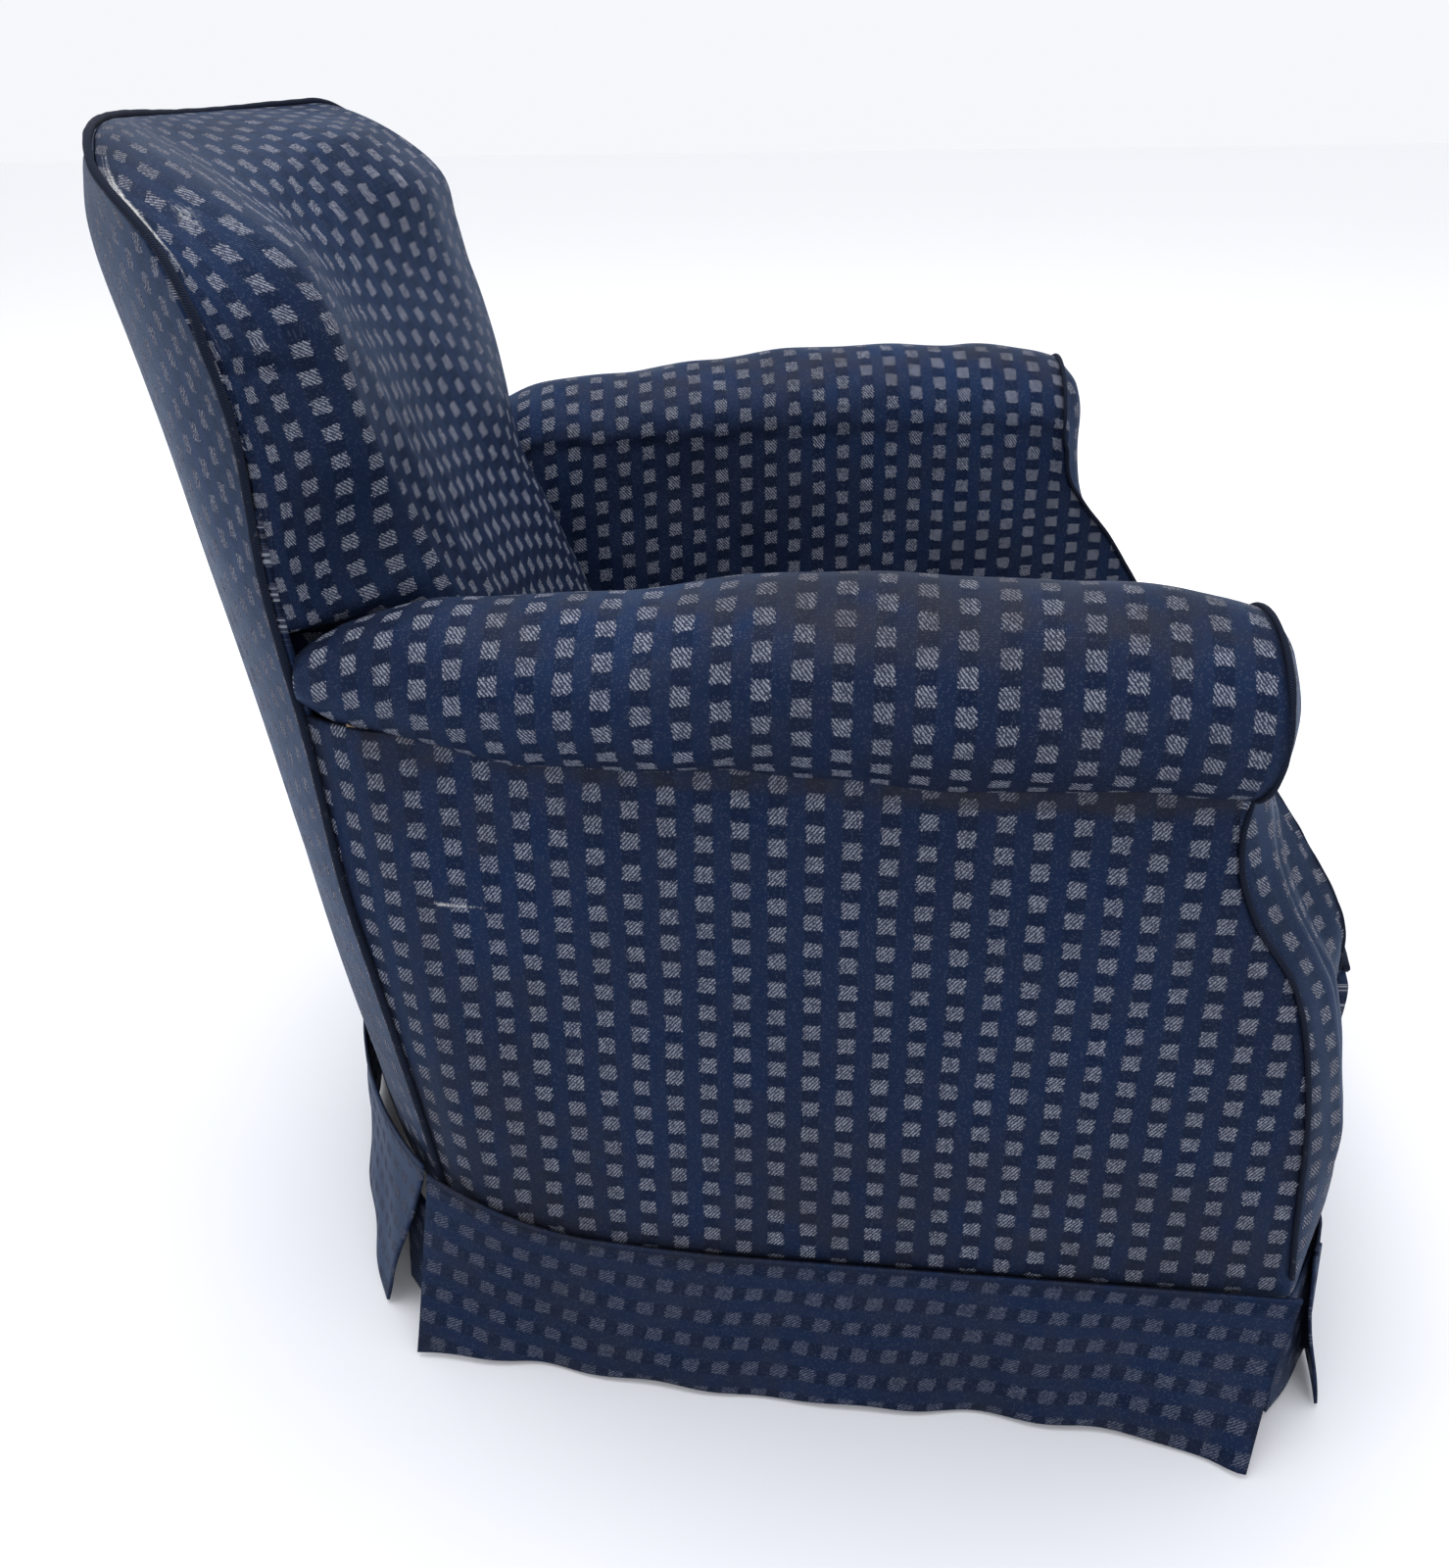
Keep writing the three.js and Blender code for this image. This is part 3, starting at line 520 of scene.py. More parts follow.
def outside_back():
    cols, rows = 101, 121
    across = np.sin(np.linspace(-1, 1, cols) * math.pi / 2)[None, :]
    up = np.linspace(0, 1, rows)[:, None]
    z = RAIL_BOTTOM + up * (top_z(across * BACK_HALF) - RAIL_BOTTOM)
    x = across * seam_half(z)
    outer = grid_of(x, back_y(x, z), z)
    inside = 1 - np.abs(across) ** 6
    drawn_in = BACK_DRAWN_IN * (1 - inside) * ramp(0.75, 0.6, z)
    outer[..., 1] += ripple(outer, depth=0.0022, size=0.16, seed=3) * inside - drawn_in
    inner = outer - np.array([0, BACK_CLOTH, 0])
    rim = np.maximum(np.abs(across) ** 14 * ramp(0.30, 0.42, z), up ** 30)
    wear_and_highlight = 0.46 * rim * ramp(0.0, -0.1, x)
    soil_and_shade = 0.4 + 0.4 * ramp(0.35, 0.15, z)
    add_shell("outside_back_cover", outer, inner, arc_uv(outer, cols // 2), COVER,
              ["outside_back"], wear_and_highlight, soil_and_shade)


FLAT_HALF = [(0.30, 0.105), (0.58, 0.110), (0.62, 0.120), (0.66, 0.145), (0.70, 0.165),
             (0.74, 0.170), (0.80, 0.170)]
FLAT_EDGE = 0.030  # from there to where the cover begins to turn back
FLAT_SHARE = 0.5  # share of the mesh columns on the flat
LOW_SHARE = 0.74  # share of the mesh rows below the shoulders
TURN_FROM = 0.25  # where the turn begins, between the flat (0) and the seam (1)
NECK_HALF = 0.212  # half width of the cover where it goes down between the arms
PAD_EDGE_AHEAD = 0.006  # from the outside back to the edge of this cover
TOP_ROLL = 0.008  # the top bulges up over its right half
PLEAT = 0.004
TOP_CLOTH = 0.155  # cloth from the shoulders' height over the top
STRETCH_ACROSS, STRETCH_UP = 1.054, 0.92
WORN_SPOT = (-0.212, 0.318, 0.812)  # on the right shoulder
NOMINAL_HALF = 0.28  # half width of the cover, where its own isn't known yet
HOLLOW_LINE = [(0.30, 0.112), (0.45, 0.163), (0.58, 0.221), (0.62, 0.239), (0.66, 0.256), (0.70, 0.275),
               (0.74, 0.296), (0.78, 0.322), (0.80, 0.338), (0.82, 0.356), (0.86, 0.392)]
BOWL_RIGHT = [(0.30, 0.0), (0.58, 0.0), (0.62, 0.007), (0.66, 0.018), (0.70, 0.028), (0.74, 0.042),
              (0.78, 0.047), (0.86, 0.045)]
BOWL_LEFT = [(0.30, 0.0), (0.58, 0.014), (0.62, 0.020), (0.70, 0.026), (0.74, 0.036), (0.78, 0.050),
             (0.82, 0.045), (0.86, 0.038)]


def hollow_y(x, z):
    """Front of the inside back, hollowed between its two fuller sides."""
    bowl = np.where(x < 0, through(BOWL_RIGHT, z), through(BOWL_LEFT, z))
    edge = through(FLAT_HALF, z) + FLAT_EDGE
    full = np.sin(math.pi / 2 * np.minimum(1, np.abs(x) / edge)) ** 2
    line = -0.115 - 0.30 * (z - 0.62)
    pulled = ramp(0.48, 0.56, z) * ramp(0.77, 0.70, z)
    creases = 0.0055 * hump(line, 0.020, x) + 0.0022 * hump(line + 0.062, 0.012, x)
    return through(HOLLOW_LINE, z) - bowl * full - pulled * creases


def back_pad():
    """The inside back: flat in the middle, and turned back to the seam at its sides and its top."""
    cols, rows = 121, 125
    a = np.linspace(-1, 1, cols)[None, :]
    b = np.linspace(0, 1, rows)[:, None]
    side = np.sign(a)
    foot = SEAT_LINE - 0.012
    round_r = across_back(SHOULDER_R, a * NOMINAL_HALF)
    shoulder_z = across_back(BACK_TOP, a * NOMINAL_HALF) - round_r
    height = foot + np.minimum(b, LOW_SHARE) / LOW_SHARE * (shoulder_z - foot)
    flat = through(FLAT_HALF, height)
    flat = flat + (BACK_HALF - round_r - flat) * ramp(0.56, 0.74, height)
    u = np.clip((np.abs(a) - FLAT_SHARE) / (1 - FLAT_SHARE), 0, 1)
    v = np.clip((b - LOW_SHARE) / (1 - LOW_SHARE), 0, 1)
    dip = v
    # the corners of the mesh are pulled in to a round shoulder
    u, v = u * np.sqrt(1 - v * v / 2), v * np.sqrt(1 - u * u / 2)
    reach = np.hypot(u, v)
    cos, sin = u / np.maximum(reach, 1e-9), v / np.maximum(reach, 1e-9)
    neck = ramp(0.545, 0.575, height)
    half = seam_half(height) * neck + NECK_HALF * (1 - neck)
    outer_r = np.where(v > 0, round_r, half - flat)
    turn = np.clip((reach - TURN_FROM) / (1 - TURN_FROM), 0, 1) * math.pi / 2
    in_plane = np.where(reach < TURN_FROM, FLAT_EDGE * reach / TURN_FROM,
                        FLAT_EDGE + (outer_r - FLAT_EDGE) * np.sin(turn))
    on_flat = np.minimum(np.abs(a), FLAT_SHARE) / FLAT_SHARE * flat
    x = side * (on_flat + in_plane * cos)
    z = height + in_plane * sin
    face = hollow_y(x, z)
    seam = back_y(x, z) - PAD_EDGE_AHEAD
    y = face + (seam - face) * (1 - np.cos(turn)) ** 0.75
    z = z + TOP_ROLL * hump(-0.135, 0.075, x) * np.sin(turn * 2).clip(0) * sin
    z = z - top_dip(x) * dip
    outer = grid_of(x, y, z)
    normal = unit_normals(outer)
    uneven = ripple(outer, depth=0.0016, size=0.11, seed=11) * (1 - reach ** 6)
    outer = outer + normal * uneven[..., None]
    # a pleat where the cover was folded in at the right shoulder
    pleat = hump(0.728, 0.004, z + 0.25 * (x + 0.262)) * ramp(-0.205, -0.235, x)
    outer = outer + normal * (PLEAT * pleat)[..., None] * np.sign(normal[..., 1:2])
    depth = np.minimum(0.05, 0.6 * (back_y(x, z) - y)) * (1 - reach ** 4)
    inner = outer + np.array([0, 1, 0]) * np.maximum(depth, 0.0015)[..., None]
    # the cloth laid out flat
    rounding = (half - flat - FLAT_EDGE) ** 2 + np.maximum(seam - face, 0.03) ** 2
    side_cloth = FLAT_EDGE + (math.pi / 2 * np.sqrt(rounding / 2))[:, :1]
    cloth_u = side * (on_flat + side_cloth * u)
    climb = arc_uv(outer, cols // 2)[:, cols // 2, 1][:, None]
    cloth_v = np.minimum(climb, climb[int(LOW_SHARE * (rows - 1))]) + TOP_CLOTH * v
    uv = grid_of(cloth_u / STRETCH_ACROSS + PITCH_ACROSS / 2, cloth_v / STRETCH_UP, 0)[..., :2]
    spot = np.linalg.norm(outer - np.array(WORN_SPOT), axis=-1)
    # painted highlight: a pale band along the right ridge of the inside back, from the shoulder down to the
    # arms, laid in through the wear mask beside the real worn spot
    ridge_highlight = hump(0.93, 0.03, reach) * ramp(-0.15, -0.2, x) * ramp(0.50, 0.60, z)
    wear_and_highlight = 0.55 * hump(0, 0.013, spot) + 0.38 * hump(0, 0.050, spot) + 0.50 * ridge_highlight
    soil_and_shade = 0.15 + 0.55 * ramp(0.79, 0.84, z)
    piece = add_shell("inside_back_cover", outer, inner, uv, COVER, ["back_pad"], wear_and_highlight, soil_and_shade)


def back_seam(side):
    """The seam from the skirt up one side to the middle of the top."""
    round_r = SHOULDER_R[0 if side == RIGHT else 1]
    shoulder_z = BACK_TOP[0 if side == RIGHT else 1] - round_r
    side_z = np.linspace(SKIRT_TOP + 0.004, shoulder_z, 26)
    line = [(side * (seam_half(z) + PIPING_PROUD), back_y(seam_half(z), z) - SEAM_AHEAD, z) for z in side_z]
    for angle in np.radians(np.arange(9, 91, 9)):
        x = BACK_HALF - round_r + (round_r + TOP_PIPING_PROUD) * math.cos(angle)
        z = shoulder_z + (round_r + TOP_PIPING_PROUD) * math.sin(angle)
        z -= float(top_dip(side * x)) * min(1, math.sqrt(2) * math.sin(angle))
        line.append((side * x, back_y(x, z) - SEAM_AHEAD, z))
    for x in (0.13, 0.09, 0.045, 0.0):
        z = float(top_z(side * x)) + TOP_PIPING_PROUD
        line.append((side * x, back_y(x, z) - SEAM_AHEAD, z))
    return line


def back_piping():
    # the top's middle is listed once
    line = np.array(back_seam(RIGHT) + back_seam(LEFT)[-2::-1], float)
    add_piping("back_seam_piping", line, ["back_piping"], BACK_PIPING_R)


# ---- the arms
CROWN_Z = [(-0.300, 0.597), (-0.260, 0.608), (-0.190, 0.617), (-0.030, 0.617), (0.040, 0.608),
           (0.100, 0.602), (0.165, 0.596), (0.200, 0.591), (0.250, 0.573), (0.272, 0.561),
           (0.290, 0.549)]
ROLL_FOOT_Z = [(-0.300, 0.499), (-0.190, 0.495), (-0.100, 0.496), (0.040, 0.501), (0.180, 0.506),
               (0.250, 0.514), (0.290, 0.533)]
ROLL_HALF = [(-0.300, 0.059), (0.060, 0.058), (0.170, 0.050), (0.235, 0.034), (0.290, 0.012)]
FOOT_ANGLE = math.radians(62)  # how far below its widest line a roll ends
FACE_ROWS, ROLL_ROWS, TUCK_ROWS = 38, 45, 4
CROWN_ROW = 60  # mesh row along the top of the roll
INSIDE_ARM = -0.062  # the padding's inner face, from the crown
INNER_HALF = 0.058  # half width of the roll on its inner side
SQUASH = 0.035  # the roll is a little wider than round
ARM_CLOTH = 0.011
FRONT_SEAM_Y = -0.2855  # where the cover of a roll meets the facing
ROLL_FRONT_Y = -0.285  # where the facing takes the outline of the roll
PIPING_FRONT_Y = -0.286
PIPING_ON_ROLL = 0.0006  # the piping's centre, outside the roll
PIPING_ON_PANEL = 0.0008
PANEL_TILT = math.tan(math.radians(3))
PANEL_TOP = 0.520  # tucked in under the roll
PANEL_CORNER = 0.055  # how far the panel's rear rounding reaches
PANEL_PILLOW = 0.005
PANEL_CLOTH = 0.0045


def arm_point(side, off, along, z):
    """A point beside the crown line of an arm, off to the outer side and along it from the pivot."""
    x = PIVOT_X + off * math.cos(ARM_SPLAY) - along * math.sin(ARM_SPLAY)
    y = PIVOT_Y + off * math.sin(ARM_SPLAY) + along * math.cos(ARM_SPLAY)
    return grid_of(side * x, y, z)


def along_at(y):
    return (np.asarray(y, float) - PIVOT_Y) / math.cos(ARM_SPLAY)


def splay(y):
    """How far out an arm has come at a place along the chair."""
    return (PIVOT_Y - y) * math.tan(ARM_SPLAY)


def roll_shape(y):
    """Height of the roll's widest line, its half width and its half height."""
    crown = through(CROWN_Z, y)
    half_tall = (crown - through(ROLL_FOOT_Z, y)) / (1 + math.sin(FOOT_ANGLE))
    return crown - half_tall, through(ROLL_HALF, y), half_tall


FACING_Y_INNER = [(0.118, -0.398), (0.200, -0.402), (0.300, -0.397), (0.345, -0.394), (0.378, -0.381),
                  (0.411, -0.360), (0.444, -0.338), (0.475, -0.312), (0.510, -0.291), (0.600, -0.284)]


def arm_pad(side, name):
    """The cover of an arm: up its inner face, over the roll and in under it."""
    cols = int((ARM_REAR - ARM_FRONT) / STEP)
    along = np.linspace(ARM_REAR, ARM_FRONT, cols)[None, :]
    middle, half_wide, half_tall = roll_shape(PIVOT_Y + along)
    rise = np.linspace(0, 1, FACE_ROWS)[:, None]
    foot = SEAT_LINE - 0.010
    z_face = foot + rise * (middle - foot)
    off_face = INSIDE_ARM + 0.004 * rise - 0.007 * np.sin(math.pi * rise) * ramp(ARM_FRONT, -0.40, along)
    around = np.linspace(math.pi, -FOOT_ANGLE, ROLL_ROWS + 1)[1:, None]
    squash = 1 + SQUASH * np.cos(around * 2)
    off_roll = half_wide * np.cos(around) * squash
    off_roll = np.where(np.cos(around) < 0, INNER_HALF * np.cos(around) * squash, off_roll)
    z_roll = middle + half_tall * np.sin(around)
    tuck = np.linspace(0, 1, TUCK_ROWS + 1)[1:, None]
    off_tuck = half_wide * math.cos(FOOT_ANGLE) * (1 - 0.6 * tuck)
    z_tuck = z_roll[-1:] + 0.010 * tuck
    off_over = np.concatenate([off_roll, off_tuck])
    # the front edges are drawn to the seams of the facing, which run square across the chair
    reach = np.minimum(1.0, (along - ARM_REAR) / (ARM_FRONT - ARM_REAR)) ** 2
    face_seam = along_at(through(FACING_Y_INNER, z_face[:, -1:])) + 0.002
    level_face = along + reach * np.minimum(face_seam - ARM_FRONT, 0)
    over_seam = along_at(FRONT_SEAM_Y) - off_over * math.tan(ARM_SPLAY)
    level = np.concatenate([level_face, along + reach * (over_seam - ARM_FRONT)])
    outer = arm_point(side, np.concatenate([off_face, off_over]), level,
                      np.concatenate([z_face, z_roll, z_tuck]))
    outer, level = mirrored(side == RIGHT, outer, level)
    normal = unit_normals(outer)
    lumps = (ripple(outer, depth=0.0018, size=0.13, seed=21 + side)
             + ripple(outer, depth=0.0009, size=0.05, seed=31 + side))
    lumps = lumps * ramp(ARM_FRONT, ARM_FRONT + 0.05, level)
    outer = outer - normal * lumps[..., None]
    inner = outer - unit_normals(outer) * ARM_CLOTH
    inner[..., 1] += 0.012 * ramp(ARM_FRONT + 0.030, ARM_FRONT, level)
    uv = arc_uv(outer, cols // 2)
    uv[..., 1] -= uv[CROWN_ROW:CROWN_ROW + 1, :, 1]  # the rows of squares follow the crown
    uv[..., 0] = side * -level
    soil_and_shade = 0.25 + 0.75 * ramp(0.572, 0.610, outer[..., 2]) * ramp(0.24, 0.12, outer[..., 1])
    # painted shade: the tuck under the roll gets full soil, which darkens it
    soil_and_shade[-TUCK_ROWS - 1:] = 1
    piece = add_shell(name, outer, inner, uv, COVER, [f"arm_pad_{half_of(side)}"], None, soil_and_shade)


PANEL_FRONT = [(0.100, -0.366), (0.120, -0.365), (0.171, -0.360), (0.260, -0.353), (0.326, -0.342),
               (0.373, -0.327), (0.417, -0.298), (0.459, -0.283), (0.493, -0.279), (0.530, -0.279)]


def panel_off(z):
    """The panel below a roll, outside the crown line."""
    return 0.029 + (0.500 - z) * PANEL_TILT


def outside_arm(side, name):
    """The panel below a roll, rounded in to the back seam at its rear."""
    rows, cols = 66, 104
    z = np.linspace(RAIL_BOTTOM, PANEL_TOP, rows)[:, None]
    t = np.linspace(0, 1, cols)[None, :]
    rear_y = back_y(seam_half(z), z) - SEAM_AHEAD
    y = rear_y + t * (through(PANEL_FRONT, z) - rear_y)
    flat = PIVOT_X + panel_off(z) + splay(y)
    at_rear = PIVOT_X + panel_off(z) + splay(rear_y)
    corner = np.clip(1 - (rear_y - y) / PANEL_CORNER, 0, 1) ** 2
    x = flat - corner * (at_rear - (seam_half(z) - 0.001))
    pillow = np.sin(math.pi * t).clip(0) ** 0.6 * np.sin(math.pi * np.clip((z - 0.10) / 0.44, 0, 1)) ** 0.6
    x = x + PANEL_PILLOW * pillow
    outer = grid_of(side * x, y, z)
    uneven = (ripple(outer, depth=0.0016, size=0.17, seed=41 + side)
              + ripple(outer, depth=0.0007, size=0.06, seed=43))
    outer[..., 0] += side * (uneven * pillow)
    inner = outer - np.array([side * PANEL_CLOTH, 0, 0])
    outer, inner = mirrored(side == RIGHT, outer, inner)
    uv = level_uv(outer, cols // 2, 1)
    low = ramp(0.30, 0.12, outer[..., 2])
    rear = ramp(0.02, 0.25, outer[..., 1])
    # painted shadow: the soil mask rises to full just under the roll, painting the roll's shade line dark;
    # below that it is soil, heavier low down and to the rear
    under_roll = z - through(ROLL_FOOT_Z, outer[..., 1])
    soil_and_shade = 0.2 + 0.6 * low + 0.35 * rear + 2 * ramp(-0.010, -0.002, under_roll)
    scratch = hump(0.403 + 0.10 * (outer[..., 1] - 0.2), 0.0035, outer[..., 2])
    scratch = scratch * ramp(0.155, 0.170, outer[..., 1]) * ramp(0.222, 0.205, outer[..., 1])
    add_shell(name, outer, inner, uv, COVER, [f"outside_arm_{half_of(side)}"],
              0.75 * scratch * (side == RIGHT), soil_and_shade)


FACING_Y_OUTER = PANEL_FRONT[:-2] + [(0.493, -0.281), (0.510, -0.286), (0.600, -0.286)]
FACING_ROWS = 61  # below the roll's widest line
FACING_FULL = 0.66  # where the facing is fullest, from its outer edge (0) to its inner (1)
FACING_INSIDE = -0.060  # its inner edge, from the crown
FACING_CLOTH = 0.008
RIM_IN = 0.003  # its back is smaller, so that its rim stays under the cloth it meets
FACING_Y_BULGE = [(0.118, -0.392), (0.187, -0.404), (0.242, -0.400), (0.293, -0.391), (0.350, -0.374),
                  (0.372, -0.361), (0.416, -0.338), (0.460, -0.322), (0.500, -0.310), (0.550, -0.309),
                  (0.580, -0.303), (0.600, -0.287)]


def facing_half(z):
    """Outer and inner edges of the arm facing, measured from the crown line."""
    middle, half_wide, half_tall = roll_shape(ROLL_FRONT_Y)
    level = np.clip((z - middle) / half_tall, -1, 1)
    roll = half_wide * np.sqrt(1 - level ** 2)
    outer = np.where(z > middle, roll, np.maximum(roll, panel_off(z)))
    inner = np.where(z > middle, -roll, FACING_INSIDE)
    return outer, inner


def facing(side, name):
    """The padded front of an arm, with one long crease."""
    rows, cols = 84, 30
    middle, _, half_tall = roll_shape(ROLL_FRONT_Y)
    low = np.linspace(RAIL_BOTTOM, middle, FACING_ROWS + 1)
    over = np.linspace(0, math.pi / 2 * 0.97, rows - FACING_ROWS)[1:]
    z = np.concatenate([low, middle + half_tall * np.sin(over)])[:, None]
    t = np.linspace(0, 1, cols)[None, :]
    outer_off, inner_off = facing_half(z)
    off = outer_off + t * (inner_off - outer_off)
    y0, y1, y2 = (through(line, z) for line in (FACING_Y_OUTER, FACING_Y_BULGE, FACING_Y_INNER))
    rise = np.sin(math.pi / 2 * np.minimum(1, t / FACING_FULL)) ** 0.8
    fall = ramp(FACING_FULL, 1.0, t) ** 1.3
    y = y0 + (y1 - y0) * rise + (y2 - y1) * fall
    creased = ramp(0.16, 0.24, z) * ramp(0.50, 0.42, z)
    y = y + 0.0035 * hump(0.42, 0.055, t) * creased - 0.0025 * hump(0.27, 0.07, t) * creased
    outer = grid_of(side * (PIVOT_X + off + splay(y)), y, z)
    outer[..., 1] += ripple(outer, depth=0.0012, size=0.07, seed=51 + side) * np.sin(math.pi * t)
    inner = outer + np.array([0, FACING_CLOTH, 0])
    inner[..., 0] -= side * RIM_IN * (1 - 2 * t)
    inner[..., 2] -= RIM_IN * ramp(middle, middle + half_tall, z)
    outer, inner = mirrored(side == LEFT, outer, inner)
    uv = level_uv(outer, cols // 2, 0)
    soil_and_shade = 0.3 + 0.5 * ramp(0.28, 0.14, outer[..., 2])
    add_shell(name, outer, inner, uv, COVER, [f"arm_facing_{half_of(side)}"], None, soil_and_shade)


def arm_piping(side, name):
    """One cord up the facing's outer edge, round the roll and down its inner edge."""
    middle, half_wide, half_tall = roll_shape(ROLL_FRONT_Y)
    line = []
    for z in np.linspace(SKIRT_TOP + 0.004, 0.478, 24):
        y = float(through(FACING_Y_OUTER, z))
        x = PIVOT_X + panel_off(z) + PIPING_ON_PANEL + splay(y)
        line.append((side * x, y - 0.001, z))
    for angle in np.linspace(-FOOT_ANGLE - 0.05, math.pi, 30):
        off = (half_wide + PIPING_ON_ROLL) * math.cos(angle)
        z = middle + (half_tall + PIPING_ON_ROLL) * math.sin(angle)
        line.append((side * (PIVOT_X + off + splay(PIPING_FRONT_Y)), PIPING_FRONT_Y, z))
    for z in np.linspace(middle - 0.02, SEAT_LINE + 0.010, 16):
        y = float(through(FACING_Y_INNER, z)) - 0.001
        x = PIVOT_X + FACING_INSIDE - 0.0015 + splay(y)
        line.append((side * x, y - 0.001, z))
    add_piping(name, line, [f"arm_piping_{half_of(side)}"])


# ---- the seat
SEAT_FRONT = -0.434
SEAT_BOW = 0.028
SEAT_REACH = 0.26  # half width over which the seat bows and sags
SEAT_REAR = 0.165
SEAT_SAG = 0.036
BORDER_HALF = 0.274
BORDER_CLOTH = 0.012


def seat_half(y):
    return PIVOT_X + INSIDE_ARM + splay(y) - 0.001


def front_line(x):
    """The seat's front edge in plan, bowed forward."""
    return SEAT_FRONT + SEAT_BOW * (np.asarray(x) / SEAT_REACH) ** 2


def seat_pad():
    """The seat, sunk in its middle."""
    rows, cols = 96, 84
    s = np.linspace(0, 1, rows)[:, None]
    a = np.linspace(-1, 1, cols)[None, :]
    front_y = front_line(a * 0.262)
    y = front_y + 0.004 + s * (SEAT_REAR - front_y)
    x = a * seat_half(y)
    sunk_across = np.cos(math.pi / 2 * np.clip(np.abs(x) / SEAT_REACH, 0, 1)) ** 1.2
    sag = SEAT_SAG * sunk_across * np.sin(math.pi * np.clip((y + 0.42) / 0.62, 0, 1)) ** 1.1
    edge_in = 0.014 * np.abs(a) ** 8 + 0.006 * (1 - ramp(0, 0.035, s)) + 0.02 * ramp(0.88, 1, s)
    crown = 0.008 * ramp(0.0, 0.12, s) * ramp(0.45, 0.12, s) * (1 - a ** 2)
    outer = grid_of(x, y, SEAT_LINE + 0.004 + crown - sag - edge_in)
    outer[..., 2] += ripple(outer, depth=0.0016, size=0.12, seed=61) * ramp(0.0, 0.05, s)
    inner = outer.copy()
    inner[..., 2] -= 0.030 * (1 - np.abs(a) ** 10) * (1 - (2 * s - 1) ** 20) + 0.002
    soil_and_shade = 0.55 + 0.2 * ramp(0.3, 0.0, s)
    piece = add_shell("seat_cover", outer, inner, arc_uv(outer, cols // 2), COVER, ["seat_pad"], None, soil_and_shade)


def border_y(x, z):
    """Front of the border below the seat."""
    t = (z - RAIL_BOTTOM) / (SEAT_LINE - RAIL_BOTTOM)
    belly = 0.008 * np.sin(math.pi * np.clip(t, 0, 1)) ** 0.7
    return front_line(x) + 0.022 * np.clip(1 - t, 0, 1) ** 1.2 - belly


def seat_border():
    rows, cols = 34, 90
    z = np.linspace(RAIL_BOTTOM, SEAT_LINE + 0.002, rows)[:, None]
    x = np.linspace(-BORDER_HALF, BORDER_HALF, cols)[None, :]
    outer = grid_of(x, np.minimum(border_y(x, z), -0.384), z)
    outer[..., 1] += ripple(outer, depth=0.0015, size=0.09, seed=71)
    inner = outer + np.array([0, BORDER_CLOTH, 0])
    soil_and_shade = 0.3 + 0.4 * ramp(0.28, 0.14, z)
    piece = add_shell("front_border_cover", outer, inner, arc_uv(outer, cols // 2), COVER,
                      ["seat_border"], None, soil_and_shade)


def seat_piping():
    line = [(x, float(front_line(x)) - 0.001, SEAT_LINE + 0.003 + 0.003 * (1 - (x / SEAT_REACH) ** 2))
            for x in np.linspace(-0.256, 0.256, 30)]
    add_piping("seat_edge_piping", line, ["seat_piping"], SEAT_PIPING_R)


# ---- the skirt
CLOTH_THICK = 0.0024
SKIRT_SEAM = [(-0.38, 0.123), (0.01, 0.123), (0.12, 0.129), (0.154, 0.136), (0.187, 0.147), (0.222, 0.156),
              (0.26, 0.160)]  # height of the seam, which rides up at the rear
HEM_SIDE = [(-0.376, 0.4265), (-0.338, 0.4250), (-0.314, 0.4140), (-0.282, 0.405), (-0.229, 0.393),
            (-0.159, 0.386), (-0.089, 0.380), (-0.018, 0.374), (0.055, 0.364), (0.129, 0.350),
            (0.177, 0.338), (0.262, 0.333)]  # how far out the hem swings, from front to rear
SIDE_SEAM = (0.243, -0.372)  # rear and front ends
SIDE_HEM = (0.262, -0.338)
SKIRT_TALL = 0.125
SKIRT_PROUD = 0.0065  # from the covers to the seam of the front and the back skirt
FRONT_HALF, REAR_HALF = 0.338, 0.290  # half widths of the front and the back skirt
SKIRT_ROWS, SKIRT_COLS = 64, 110


def skirt_shell(name, top, hem, inward, node, seed):
    """A gathered strip hung between its top seam and its hem, with a folded band along the seam."""
    t = np.linspace(0, 1, SKIRT_ROWS)[:, None, None]
    lift = 0.006 * np.sin(math.pi * t) * inward
    outer = top[None] * (1 - t) + hem[None] * t + lift * 0.4
    outer = outer - inward * 0.0016 * ramp(0.010, 0.007, t * SKIRT_TALL)
    outer = outer + inward * 0.0014 * hump(0.0042, 0.0010, t * SKIRT_TALL)
    outer = outer + inward * (ripple(outer, depth=0.0032, size=0.10, seed=seed)[..., None] * t)
    inner = outer + inward * CLOTH_THICK
    uv = arc_uv(outer, outer.shape[1] // 2)[..., ::-1]
    down = t[..., 0]
    soil_and_shade = 0.35 + 0.65 * ramp(0.10, 0.02, down) + 0.25 * ramp(0.85, 1.0, down)
    wear_and_highlight = 0.50 * hump(0.020, 0.014, down) + 0.46 * hump(0.078, 0.012, down)
    piece = add_shell(name, outer, inner, uv, SKIRT, [node], wear_and_highlight, soil_and_shade)


def side_skirt(side, name):
    y = np.linspace(*SIDE_SEAM, SKIRT_COLS)
    seam_z = through(SKIRT_SEAM, y)
    panel_x = PIVOT_X + panel_off(seam_z) + splay(y)
    corner = np.clip(1 - (SIDE_SEAM[0] - y) / 0.075, 0, 1) ** 2
    top = grid_of(side * (panel_x + 0.0062 - 0.022 * corner), y, seam_z)
    hem_y = SIDE_HEM[0] + (y - SIDE_SEAM[0]) * (SIDE_HEM[0] - SIDE_HEM[1]) / (SIDE_SEAM[0] - SIDE_SEAM[1])
    hem = grid_of(side * through(HEM_SIDE, hem_y), hem_y, 0.0035 + 0.003 * np.sin(hem_y * 21.0) ** 2)
    half = half_of(side)
    skirt_shell(name, top, hem, np.array([-side * 1.0, 0, 0]), f"skirt_{half}",
                81 + side)


